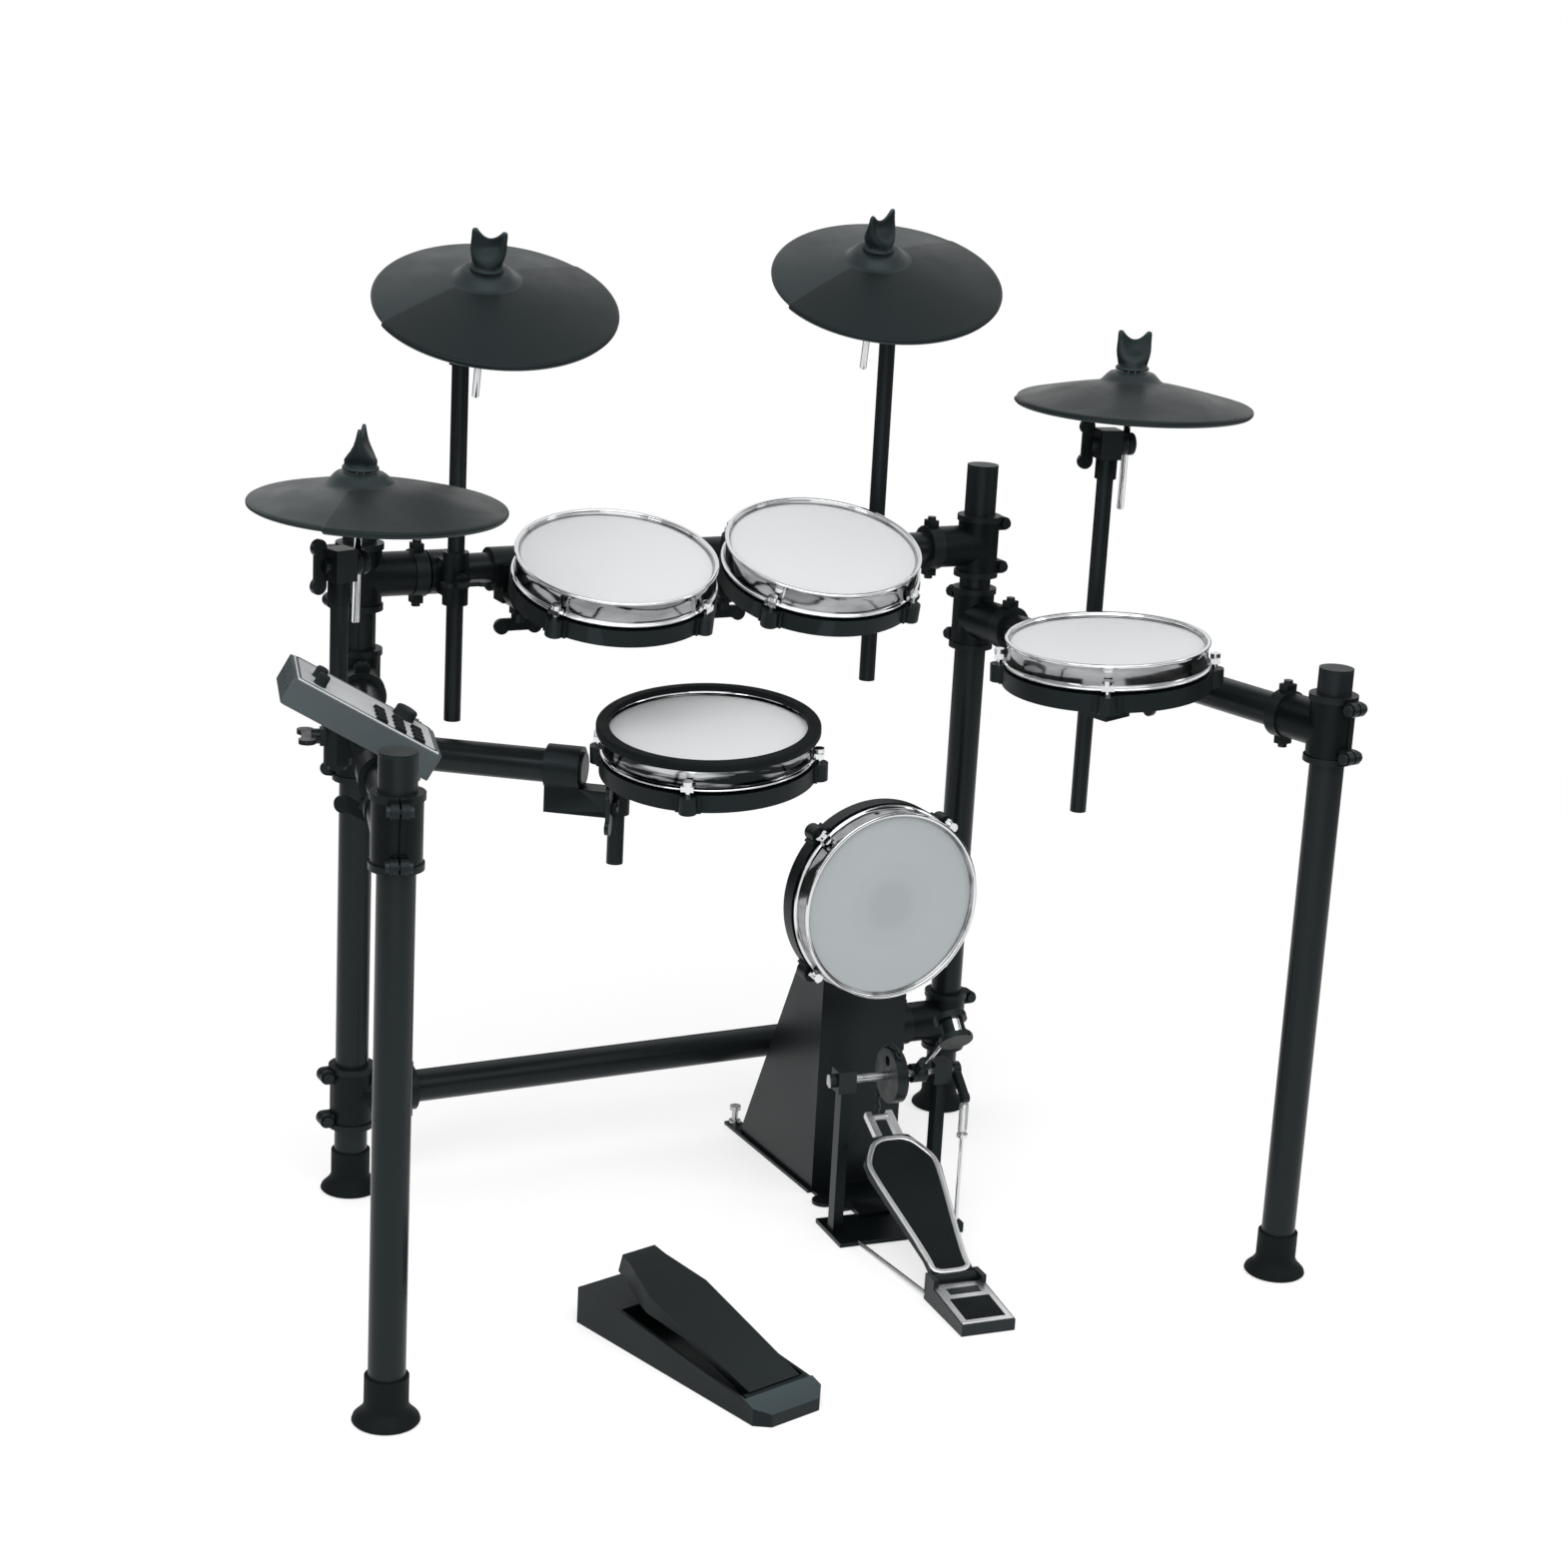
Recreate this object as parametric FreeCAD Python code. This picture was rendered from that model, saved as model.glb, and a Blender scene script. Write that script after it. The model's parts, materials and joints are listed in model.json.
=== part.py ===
import FreeCAD, Part
import math
import os

os.makedirs("parts", exist_ok=True)
V = FreeCAD.Vector

# Rack tubes and posts (plan positions from the left back post)
TUBE_R = 19.05
TUBE_WALL = 1.6
FIT = 0.1
RUN_FIT = 0.06
BODY_GAP = 0.3
BACK_SPAN = 796.0
LEFT_FRONT = (-155.0, -557.0)
RIGHT_FRONT = (909.0, -581.0)
POST_TOP = {"A": 692.0, "B": 790.0, "C": 835.0, "D": 712.0}
UPPER_BAR_Z = 735.0
LOWER_BAR_Z = 118.0
LEFT_ARM_DROP = 77.0
RIGHT_ARM_DROP = 67.0
LEFT_ARM_Z = POST_TOP["A"] - LEFT_ARM_DROP
RIGHT_ARM_Z = POST_TOP["D"] - RIGHT_ARM_DROP
SNARE_ARM_ANGLE = -37.0
SNARE_ARM_LENGTH = 262.0

# Tee clamps
CLAMP_WALL = 6.0
CLAMP_HEIGHT = 76.0
CLAMP_REACH = 75.0
CLAMP_RIM = 2.0
CLAMP_RIM_H = 7.0
SPLIT = 2.0
EAR_REACH = 15.0
EAR_T = 8.0
EAR_H = 16.0
SCREW_R = 3.0
SCREW_HEAD_R = 6.0
SCREW_HEAD_H = 4.0
TUBE_SETBACK = 9.0
CLAMP_SPACE = 1.0
SNARE_ARM_Z = LEFT_ARM_Z - CLAMP_HEIGHT - CLAMP_SPACE

# Feet and caps
FOOT_FLOOR = 6.0
FOOT_H = 50.0
FOOT_WALL = 3.5
FOOT_FLARE = 12.0
FOOT_FLARE_H = 13.0
CAP_FLANGE = 3.0
CAP_PLUG = 12.0

# Cymbal stands and pad rods
ROD_R = 9.5
ROD_WALL = 1.6
RAIL_W = 44.0
RAIL_ROD_OFF = 36.0
RAIL_ROD_H = 60.0
RAIL_SOCKET_REACH = 52.0
ROD_SLEEVE_WALL = 5.0
WING_SHANK_R = 4.0
WING_SPAN = 20.0
WING_T = 5.0
TILTER_W = 26.0
TILTER_H = 34.0
TILTER_NECK = 23.0
SPINDLE_R = 4.0
SPINDLE_SIDE = 22.0
SPINDLE_LEN = 144.0
BARREL_R = 13.0
STUB_R = 5.0
STUB_IN = 9.0

# Cymbals
CYM_R = 133.0
ZONE_R = 136.0
ZONE_IN = 66.0
ZONE_ANGLE = 200.0
CYM_OFF = 18.0
CYM_T = 5.0
CYM_DROP = 20.5
BELL_R = 38.0
BELL_TOP = 15.0
BELL_HOLE_R = 10.5
BELL_BOTTOM = -6.0
BALL_R = 14.0
BALL_TOP = 8.0
BALL_LOW = -10.0
TOPPER_R = 17.0
TOPPER_GAP = 2.5
TOPPER_H = 50.0
JACK_BOX = (36.0, 24.0, 13.0)

# Pads
SHELL_WALL = 5.0
SHELL_DEPTH = 46.0
SHELL_FLOOR = 4.0
HOOP_OVER = 9.0
HOOP_RISE = 6.0
HOOP_DEPTH = 22.0
HOOP_T = 2.0
HEAD_T = 1.0
FLESH_W = 3.0
FLESH_H = 7.0
LUGS = 4
LUG_W = 28.0
LUG_H = 20.0
LUG_REACH = 10.0
TRAY_OVER = 1.0
BOLT_R = 3.0
BOLT_OUT = 3.5
BOLT_HEAD_R = 5.5
BOSS_W = 40.0
BOSS_D = 36.0
BOSS_H = 37.0
PIVOT_DEPTH = 67.0
BRIDGE_W = 30.0
BRIDGE_T = 2.0
BRIDGE_Z = 30.0
SENSOR_R = 13.5
CONE_R = 22.0
CONE_TIP = 6.0
TOM_R = 114.5
SNARE_R = 120.0
RIM_T = 5.5
RIM_IN = 2.0
ROD_PAST = 26.0

# Kick tower and pad
KICK_AT = (565.0, -245.0, 370.0)
PLATE_W = 113.0
PLATE_T = 4.0
PLATE_TOP = 430.0
GUSSET_T = 3.0
GUSSET_FOOT = 190.0
GUSSET_MID = 45.0
GUSSET_MID_Z = 300.0
SKID_LEN = 225.0
SKID_W = 20.0
BASE_T = 4.0
BASE_OUT = 14.0
BASE_FRONT = 63.0
SPUR_R = 4.0
SPUR_H = 26.0

# Kick pedal
PEDAL_AT = (540.0, -318.0)
PEDAL_YAW = -5.0
AXLE_Z = 190.0
AXLE_R = 5.0
UPRIGHT_X = 60.0
UPRIGHT_W = 12.0
UPRIGHT_D = 16.0
BEARING_W = 22.0
BEARING_H = 26.0
FRAME_T = 5.0
FRAME_BACK = 34.0
FRAME_FRONT = 40.0
CAM_R = 32.0
CAM_W = 14.0
BEATER_X = 32.0
BEATER_LEAN = 45.0
BEATER_LEN = 118.0
BEATER_ROD_R = 4.0
BEATER_R = 19.0
BEATER_W = 32.0
LEVER_X = 80.0
LEVER_T = 8.0
LEVER_BACK = 30.0
LEVER_DOWN = 24.0
HEEL_Y = -195.0
HEEL_Z = 24.0
HEEL_W = 64.0
HEEL_LEN = 92.0
HEEL_H = 22.0
HEEL_LIP = 13.0
BOARD_T = 8.0
BOARD_RISE = 25.0
BOARD_W = (50.0, 90.0, 34.0)
PRONG_LEN = 40.0
PRONG_GAP = 18.0
CHAIN_T = 3.0
CHAIN_W = 8.0
CHAIN_PIN_R = 3.5
CHAIN_GAP = 0.7
CHAIN_OVER = 16.0
SPRING_R = 5.5
SPRING_WIRE = 1.5
SPRING_PITCH = 2.3
SPRING_TURNS = 15

# Hi-hat control pedal
HAT_PEDAL_AT = (230.0, -703.0)
HAT_PEDAL_YAW = 14.5
HAT_LEN = 303.0
HAT_W = 92.0
HAT_HEEL_LEN = 28.0
HAT_HEEL_H = 22.0
HAT_BACK_H = 41.0
HAT_DECK = 70.0
HAT_NOSE = 14.0
HAT_FLOOR = 8.0
HAT_WALL = 4.0
HAT_BOARD_T = 9.0
HAT_RISE = 15.7
HAT_BOARD_LEN = 237.0
HAT_BOARD_W = (68.0, 76.0, 48.0, 44.0)
HAT_TOE_T = 22.0
HAT_PIN_R = 4.0

# Sound module
MOD_NEAR = 442.0
MOD_LEN = 104.0
MOD_W = 165.0
MOD_T = 28.0
MOD_TILT = 29.0
MOD_LIFT = 26.5
MOD_SIDE = -51.0
PANEL_T = 1.5
PANEL_EDGE = 4.0
KEY_ROWS = 3
KEY_COLS = 4
KEY = (12.0, 9.5, 3.0)
KEY_STEP = (21.0, 14.0)
DIAL_R = 12.0
DIAL_H = 11.0
KNOB_R = 7.0
KNOB_H = 12.0
SHAFT_R = 3.0
SHAFT_IN = 6.0
SOCKET_R = 3.25
SOCKET_DEPTH = 22.0
SOCKETS = 5
SOCKET_STEP = 18.0
BRACKET_W = 40.0
BRACKET_PLATE = (90.0, 70.0, 4.0)

nodes = {}


def add(name, *shapes):
    for s in shapes:
        nodes.setdefault(name, []).extend(s.Solids)


def cyl(r, p, d, h):
    return Part.makeCylinder(r, h, V(*p), V(*d))


def block(x0, x1, y0, y1, z0, z1):
    return Part.makeBox(x1 - x0, y1 - y0, z1 - z0, V(x0, y0, z0))


def fuse(first, *rest):
    return first.multiFuse(list(rest)).removeSplitter()


def prism(points, direction):
    wire = Part.makePolygon([V(*p) for p in points] + [V(*points[0])])
    return Part.Face(wire).extrude(V(*direction))


def revolve(profile, angle=360.0):
    pts = [V(r, 0, z) for r, z in profile]
    face = Part.Face(Part.makePolygon(pts + [pts[0]]))
    return face.revolve(V(0, 0, 0), V(0, 0, 1), angle)


def frame(x_axis, z_axis, at):
    y_axis = z_axis.cross(x_axis)
    return FreeCAD.Placement(V(*at), FreeCAD.Rotation(x_axis, y_axis, z_axis, "ZXY"))


def placed(shape, pl):
    out = shape.copy()
    out.Placement = pl.multiply(out.Placement)
    return out


def turned(angle, at):
    return FreeCAD.Placement(V(*at), FreeCAD.Rotation(V(0, 0, 1), angle))


def unit(angle):
    return V(math.cos(math.radians(angle)), math.sin(math.radians(angle)), 0)


def tilt_normal(angle, tilt):
    side = FreeCAD.Rotation(V(0, 0, 1), angle)
    t = math.radians(tilt)
    return side.multVec(V(0, -math.sin(t), math.cos(t)))


def pipe(start, end, r, wall):
    d = V(*end) - V(*start)
    return cyl(r, start, d, d.Length).cut(cyl(r - wall, start, d, d.Length))


def wing_screw(shank):
    hub = cyl(8.0, (0, 0, 0), (0, 0, 1), 9.0)
    blade = block(-WING_SPAN, WING_SPAN, -WING_T / 2, WING_T / 2, 5.0, 19.0)
    tips = [cyl(9.0, (s * WING_SPAN, -WING_T / 2, 14.0), (0, 1, 0), WING_T) for s in (-1, 1)]
    return fuse(hub, blade, *tips, cyl(WING_SHANK_R, (0, 0, -shank), (0, 0, 1), shank))


# Posts, bars and arms
POST = {"A": LEFT_FRONT, "B": (0.0, 0.0), "C": (BACK_SPAN, 0.0), "D": RIGHT_FRONT}
CLAMP_R = TUBE_R + CLAMP_WALL
SETBACK = TUBE_R + TUBE_SETBACK
for key, (x, y) in POST.items():
    add("rack_posts", pipe((x, y, FOOT_FLOOR), (x, y, POST_TOP[key] - CAP_FLANGE), TUBE_R, TUBE_WALL))
    cap = cyl(TUBE_R, (x, y, POST_TOP[key] - CAP_FLANGE), (0, 0, 1), CAP_FLANGE)
    plug = cyl(TUBE_R - TUBE_WALL - FIT, (x, y, POST_TOP[key] - CAP_FLANGE - CAP_PLUG), (0, 0, 1), CAP_PLUG)
    add("post_caps", fuse(cap, plug))
    flare = TUBE_R + FOOT_WALL + FOOT_FLARE
    sleeve = TUBE_R + FOOT_WALL
    foot = revolve([(0, 0), (flare - 2, 0), (flare, 2), (flare - 1, 5), (sleeve + 3, FOOT_FLARE_H),
                    (sleeve, FOOT_FLARE_H + 6), (sleeve, FOOT_H), (TUBE_R + FIT, FOOT_H),
                    (TUBE_R + FIT, FOOT_FLOOR), (0, FOOT_FLOOR)])
    foot.translate(V(x, y, 0))
    add("rubber_feet", foot)


def heading(a, b):
    return math.degrees(math.atan2(b[1] - a[1], b[0] - a[0]))


def between(a, b, z, node):
    d = unit(heading(a, b))
    p = V(a[0], a[1], z) + d * SETBACK
    q = V(b[0], b[1], z) - d * SETBACK
    add(node, pipe(p, q, TUBE_R, TUBE_WALL))


between(POST["B"], POST["C"], UPPER_BAR_Z, "cross_bars")
between(POST["B"], POST["C"], LOWER_BAR_Z, "cross_bars")
between(POST["B"], POST["A"], LEFT_ARM_Z, "rack_arms")
between(POST["C"], POST["D"], RIGHT_ARM_Z, "rack_arms")
SNARE_DIR = unit(SNARE_ARM_ANGLE)
SNARE_END = SNARE_DIR * SNARE_ARM_LENGTH + V(0, 0, SNARE_ARM_Z)
add("rack_arms", pipe(SNARE_DIR * SETBACK + V(0, 0, SNARE_ARM_Z), SNARE_END, TUBE_R, TUBE_WALL))
end_plug = cyl(TUBE_R - TUBE_WALL - FIT, SNARE_END - SNARE_DIR * CAP_PLUG, SNARE_DIR, CAP_PLUG)
add("post_caps", fuse(cyl(TUBE_R, SNARE_END, SNARE_DIR, CAP_FLANGE), end_plug))


def tee_clamp():
    h = CLAMP_HEIGHT / 2
    top = CLAMP_R + 9.0
    ear_x = CLAMP_R + EAR_REACH
    body = [cyl(CLAMP_R + CLAMP_RIM, (0, 0, z), (0, 0, 1), CLAMP_RIM_H) for z in (-h, h - CLAMP_RIM_H)]
    body.append(cyl(CLAMP_R, (0, 0, 0), (1, 0, 0), CLAMP_REACH))
    body.append(cyl(CLAMP_R + CLAMP_RIM, (CLAMP_REACH - 16, 0, 0), (1, 0, 0), 16.0))
    body.append(block(CLAMP_REACH - 14, CLAMP_REACH - 2, -8, 8, -top, top))
    for z in (-h + EAR_H / 2 + 3, h - EAR_H / 2 - 3):
        ears = block(-ear_x + EAR_H / 2, -CLAMP_R + 4, -EAR_T - SPLIT / 2, EAR_T + SPLIT / 2,
                     z - EAR_H / 2, z + EAR_H / 2)
        nose = cyl(EAR_H / 2, (-ear_x + EAR_H / 2, -EAR_T - SPLIT / 2, z), (0, 1, 0), 2 * EAR_T + SPLIT)
        body += [ears, nose]
    shape = fuse(cyl(CLAMP_R, (0, 0, -h), (0, 0, 1), CLAMP_HEIGHT), *body)
    shape = shape.cut(cyl(TUBE_R + FIT, (0, 0, -h - 1), (0, 0, 1), CLAMP_HEIGHT + 2))
    shape = shape.cut(cyl(TUBE_R + FIT, (SETBACK - 1, 0, 0), (1, 0, 0), CLAMP_REACH))
    shape = shape.cut(block(-ear_x - 1, -TUBE_R + 4, -SPLIT / 2, SPLIT / 2, -h - 1, h + 1))
    screws = []
    half = EAR_T + SPLIT / 2
    for z in (-h + EAR_H / 2 + 3, h - EAR_H / 2 - 3):
        x = -ear_x + EAR_H / 2
        shape = shape.cut(cyl(SCREW_R + FIT, (x, -half - 1, z), (0, 1, 0), 2 * half + 2))
        shank = cyl(SCREW_R, (x, -half, z), (0, 1, 0), 2 * half)
        heads = [cyl(SCREW_HEAD_R, (x, y, z), (0, 1, 0), SCREW_HEAD_H) for y in (-half - SCREW_HEAD_H, half)]
        screws.append(fuse(shank, *heads))
    for z in (-top - SCREW_HEAD_H, top):
        screws.append(cyl(SCREW_HEAD_R - 1, (CLAMP_REACH - 8, 0, z), (0, 0, 1), SCREW_HEAD_H))
    return shape, screws


TEE, TEE_SCREWS = tee_clamp()
CLAMPS = [("B", UPPER_BAR_Z, 0.0), ("C", UPPER_BAR_Z, 180.0),
          ("B", LOWER_BAR_Z, 0.0), ("C", LOWER_BAR_Z, 180.0),
          ("B", LEFT_ARM_Z, heading(POST["B"], POST["A"])),
          ("A", LEFT_ARM_Z, heading(POST["A"], POST["B"])),
          ("C", RIGHT_ARM_Z, heading(POST["C"], POST["D"])),
          ("D", RIGHT_ARM_Z, heading(POST["D"], POST["C"])),
          ("B", SNARE_ARM_Z, SNARE_ARM_ANGLE)]
for key, z, angle in CLAMPS:
    pl = turned(angle, (POST[key][0], POST[key][1], z))
    add("tee_clamps", placed(TEE, pl))
    add("clamp_screws", *[placed(s, pl) for s in TEE_SCREWS])


# Rail clamps that hold the stands and the pad rods
def stand_clamp():
    sleeve_r = ROD_R + ROD_SLEEVE_WALL
    h = RAIL_ROD_H / 2
    shape = fuse(cyl(CLAMP_R, (-RAIL_W / 2, 0, 0), (1, 0, 0), RAIL_W),
                 cyl(sleeve_r, (0, RAIL_ROD_OFF, -h), (0, 0, 1), RAIL_ROD_H),
                 block(-sleeve_r, sleeve_r, 8, RAIL_ROD_OFF, -20, 20),
                 block(-7, 7, RAIL_ROD_OFF, RAIL_ROD_OFF + sleeve_r + 4, -9, 9))
    shape = shape.cut(cyl(TUBE_R + FIT, (-RAIL_W, 0, 0), (1, 0, 0), 2 * RAIL_W))
    shape = shape.cut(cyl(ROD_R + FIT, (0, RAIL_ROD_OFF, -h - 1), (0, 0, 1), RAIL_ROD_H + 2))
    seat = RAIL_ROD_OFF + sleeve_r + 4
    bore = cyl(WING_SHANK_R + FIT, (0, RAIL_ROD_OFF + ROD_R, 0), (0, 1, 0), 30.0)
    wing = placed(wing_screw(seat - RAIL_ROD_OFF - ROD_R - FIT), FreeCAD.Placement(
        V(0, seat, 0), FreeCAD.Rotation(V(1, 0, 0), -90)))
    return shape.cut(bore), wing


def rod_socket(rise):
    sleeve_r = ROD_R + ROD_SLEEVE_WALL
    low = min(0.0, rise) - 10
    high = max(0.0, rise) + 10
    shape = fuse(cyl(CLAMP_R, (-RAIL_W / 2, 0, 0), (1, 0, 0), RAIL_W),
                 cyl(sleeve_r, (0, 0, rise), (0, 1, 0), RAIL_SOCKET_REACH),
                 block(-sleeve_r, sleeve_r, 0, SETBACK, low, high),
                 block(-8, 8, RAIL_SOCKET_REACH - 20, RAIL_SOCKET_REACH - 4, rise - sleeve_r - 5, rise))
    shape = shape.cut(cyl(TUBE_R + FIT, (-RAIL_W, 0, 0), (1, 0, 0), 2 * RAIL_W))
    shape = shape.cut(cyl(ROD_R + FIT, (0, SETBACK - 1, rise), (0, 1, 0), RAIL_SOCKET_REACH))
    at = V(0, RAIL_SOCKET_REACH - 12, rise - sleeve_r - 5)
    shape = shape.cut(cyl(WING_SHANK_R + FIT, (at.x, at.y, at.z - 1), (0, 0, 1), sleeve_r + 6 - ROD_R))
    wing = placed(wing_screw(sleeve_r + 5 - ROD_R - FIT),
                  FreeCAD.Placement(at, FreeCAD.Rotation(V(1, 0, 0), 180)))
    return shape, wing


# Cymbals on their tilters
LEFT_DIR = unit(heading(POST["B"], POST["A"]))
RIGHT_DIR = unit(heading(POST["C"], POST["D"]))
HAT_ALONG = 240.0
RIDE_ALONG = 249.0
CRASH_LEFT_ALONG = 100.0
CRASH_RIGHT_IN = 164.0
CRASH_RIGHT_ALONG = BACK_SPAN - CRASH_RIGHT_IN
BAR_DIR = V(1, 0, 0)
CYMBALS = {
    "hihat": (V(0, 0, LEFT_ARM_Z), LEFT_DIR, HAT_ALONG, 1,
              798.0, 580.0, 17.0, 1.7, 1, 40.0, 45.0, 80.0),
    "crash_left": (V(0, 0, UPPER_BAR_Z), BAR_DIR, CRASH_LEFT_ALONG, 1,
                   1013.0, 571.0, -13.0, 22.0, 1, 30.0, -15.0, 58.0),
    "crash_right": (V(0, 0, UPPER_BAR_Z), BAR_DIR, CRASH_RIGHT_ALONG, 1,
                    1034.0, 584.0, -20.0, 23.0, -1, 142.0, 37.0, 58.0),
    "ride": (V(BACK_SPAN, 0, RIGHT_ARM_Z), RIGHT_DIR, RIDE_ALONG, 1,
             903.0, 465.0, -10.0, 0.5, 1, -8.0, -15.0, 68.0),
}


def cymbal_shape(zone_turn):
    def top(r):
        return 4.0 - (r - BELL_R) * CYM_DROP / (CYM_R - BELL_R)
    ball = BALL_R + BODY_GAP
    plate = revolve([(0, top(BELL_R) - CYM_T), (BELL_R, top(BELL_R) - CYM_T),
                     (CYM_R - 2, top(CYM_R) - CYM_T), (CYM_R, top(CYM_R) - CYM_T + 1.5),
                     (CYM_R, top(CYM_R) - 1.5), (CYM_R - 2, top(CYM_R)),
                     (BELL_R, top(BELL_R)), (0, top(BELL_R))])
    bell = revolve([(0, BELL_BOTTOM), (BELL_R - 4, BELL_BOTTOM), (BELL_R + 4, -3), (BELL_R + 4, 1),
                    (BELL_R - 4, BELL_TOP - 8), (BELL_R - 11, BELL_TOP - 1.5),
                    (BELL_R - 14, BELL_TOP), (0, BELL_TOP)])
    zone = revolve([(ZONE_IN, top(ZONE_IN) - CYM_T / 2), (ZONE_IN, top(ZONE_IN) + 1.0),
                    (ZONE_R - 4, top(ZONE_R) + 1.0), (ZONE_R, top(ZONE_R) - 2.0),
                    (ZONE_R, top(ZONE_R) - CYM_T - 1.5), (ZONE_R - 3, top(ZONE_R) - CYM_T - 3.5),
                    (CYM_R - 9, top(CYM_R) - CYM_T - 2.0), (CYM_R - 12, top(CYM_R) - CYM_T / 2)], ZONE_ANGLE)
    zone.rotate(V(0, 0, 0), V(0, 0, 1), -90 - ZONE_ANGLE / 2)
    plate = fuse(plate, zone)
    plate.translate(V(0, -CYM_OFF, 0))
    lx, ly, lz = JACK_BOX
    mid = (BELL_R + CYM_R - CYM_OFF) / 2
    low = top(mid + CYM_OFF - lx / 2) - CYM_T / 2
    jack = block(-ly / 2, ly / 2, mid - lx / 2, mid + lx / 2, low - lz, low)
    shape = fuse(plate, bell, jack)
    shape.rotate(V(0, 0, 0), V(0, 0, 1), zone_turn)
    return shape.cut(Part.makeSphere(ball)).cut(cyl(BELL_HOLE_R, (0, 0, 0), (0, 0, 1), BELL_TOP + 1))


def topper_shape():
    base = BELL_TOP + TOPPER_GAP
    flange = cyl(TOPPER_R, (0, 0, base), (0, 0, 1), 3.0)
    boss = cyl(8.0, (0, 0, BALL_TOP), (0, 0, 1), base - BALL_TOP + 1)
    z0 = base + 3.0
    z1 = base + TOPPER_H
    front = prism([(-14, -30, z0), (-16, -30, z0 + 8), (-14, -30, z0 + 22), (-18, -30, z1), (18, -30, z1),
                   (14, -30, z0 + 22), (16, -30, z0 + 8), (14, -30, z0)], (0, 60, 0))
    side = prism([(-30, -15, z0), (-30, -20, z0 + 8), (-30, -12, z0 + 22), (-30, -5, z1), (-30, 5, z1),
                  (-30, 12, z0 + 22), (-30, 20, z0 + 8), (-30, 15, z0)], (60, 0, 0))
    horns = front.common(side).cut(cyl(12.0, (0, -30, z1 + 1), (0, 1, 0), 60.0))
    return fuse(flange, boss, horns).cut(cyl(SPINDLE_R + FIT, (0, 0, 0), (0, 0, 1), z0 + 6))


TOPPER = topper_shape()
TILT_PIVOT = {}
CYMBAL_PIVOT = {}
TILT_AXIS = {}
for name, setting in CYMBALS.items():
    origin, along_dir, along, side, tilter_z, foot_z, turn, tilt, hand, zone_turn, topper_turn, rise = setting
    out = V(along_dir.y, -along_dir.x, 0) * side
    rail = origin + along_dir * along
    holder, wing = stand_clamp()
    pl = frame(V(-out.y, out.x, 0).negative(), V(0, 0, 1), (rail.x, rail.y, rail.z))
    add("tube_clamps", placed(holder, pl))
    add("clamp_screws", placed(wing, pl))
    rod = rail + out * RAIL_ROD_OFF
    top = tilter_z - TILTER_H / 2
    add("cymbal_stands", pipe((rod.x, rod.y, foot_z), (rod.x, rod.y, top), ROD_R, ROD_WALL))
    u = unit(turn) * hand
    n = tilt_normal(turn, tilt)
    w = TILTER_W / 2
    neck_r = ROD_R + 3.0
    head = fuse(block(-w, w, -w, w, -TILTER_H / 2, TILTER_H / 2),
                cyl(neck_r, (0, 0, -TILTER_H / 2 - TILTER_NECK), (0, 0, 1), TILTER_NECK))
    head = head.cut(cyl(ROD_R + FIT, (0, 0, -TILTER_H / 2 - TILTER_NECK - 1), (0, 0, 1), TILTER_NECK + 1))
    head = head.cut(cyl(STUB_R + RUN_FIT, (-w - 1, 0, 0), (1, 0, 0), 2 * w + 2))
    pivot = V(rod.x, rod.y, tilter_z)
    level = frame(u, V(0, 0, 1), pivot)
    add("cymbal_stands", placed(head, level))
    screw = placed(wing_screw(2 * w - STUB_IN - 2), FreeCAD.Placement(
        V(-w, 0, 0), FreeCAD.Rotation(V(0, 1, 0), -90)))
    add("clamp_screws", placed(screw, level))
    pl = frame(u, n, pivot + u * SPINDLE_SIDE + n * rise)
    barrel_in = SPINDLE_SIDE - w - BODY_GAP
    rod_len = SPINDLE_LEN + BELL_TOP + TOPPER_GAP + 5
    steel = fuse(cyl(SPINDLE_R, (0, 0, -SPINDLE_LEN), (0, 0, 1), rod_len),
                 cyl(BARREL_R, (-barrel_in, 0, -rise), (1, 0, 0), 2 * barrel_in),
                 cyl(STUB_R, (-SPINDLE_SIDE + w - STUB_IN, 0, -rise), (1, 0, 0), SPINDLE_SIDE),
                 cyl(9.0, (0, 0, BALL_LOW - 5), (0, 0, 1), 5.0))
    ball = Part.makeSphere(BALL_R).common(block(-20, 20, -20, 20, BALL_LOW, BALL_TOP))
    ball = ball.cut(cyl(SPINDLE_R + FIT, (0, 0, -20), (0, 0, 1), 40.0))
    topper = placed(TOPPER, turned(topper_turn, (0, 0, 0)))
    add(name + "_spindle", placed(steel, pl), placed(ball, pl), placed(topper, pl))
    add(name + "_cymbal", placed(cymbal_shape(zone_turn * hand), pl))
    TILT_PIVOT[name] = pivot
    TILT_AXIS[name] = u
    CYMBAL_PIVOT[name] = pivot + u * SPINDLE_SIDE + n * rise


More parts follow.
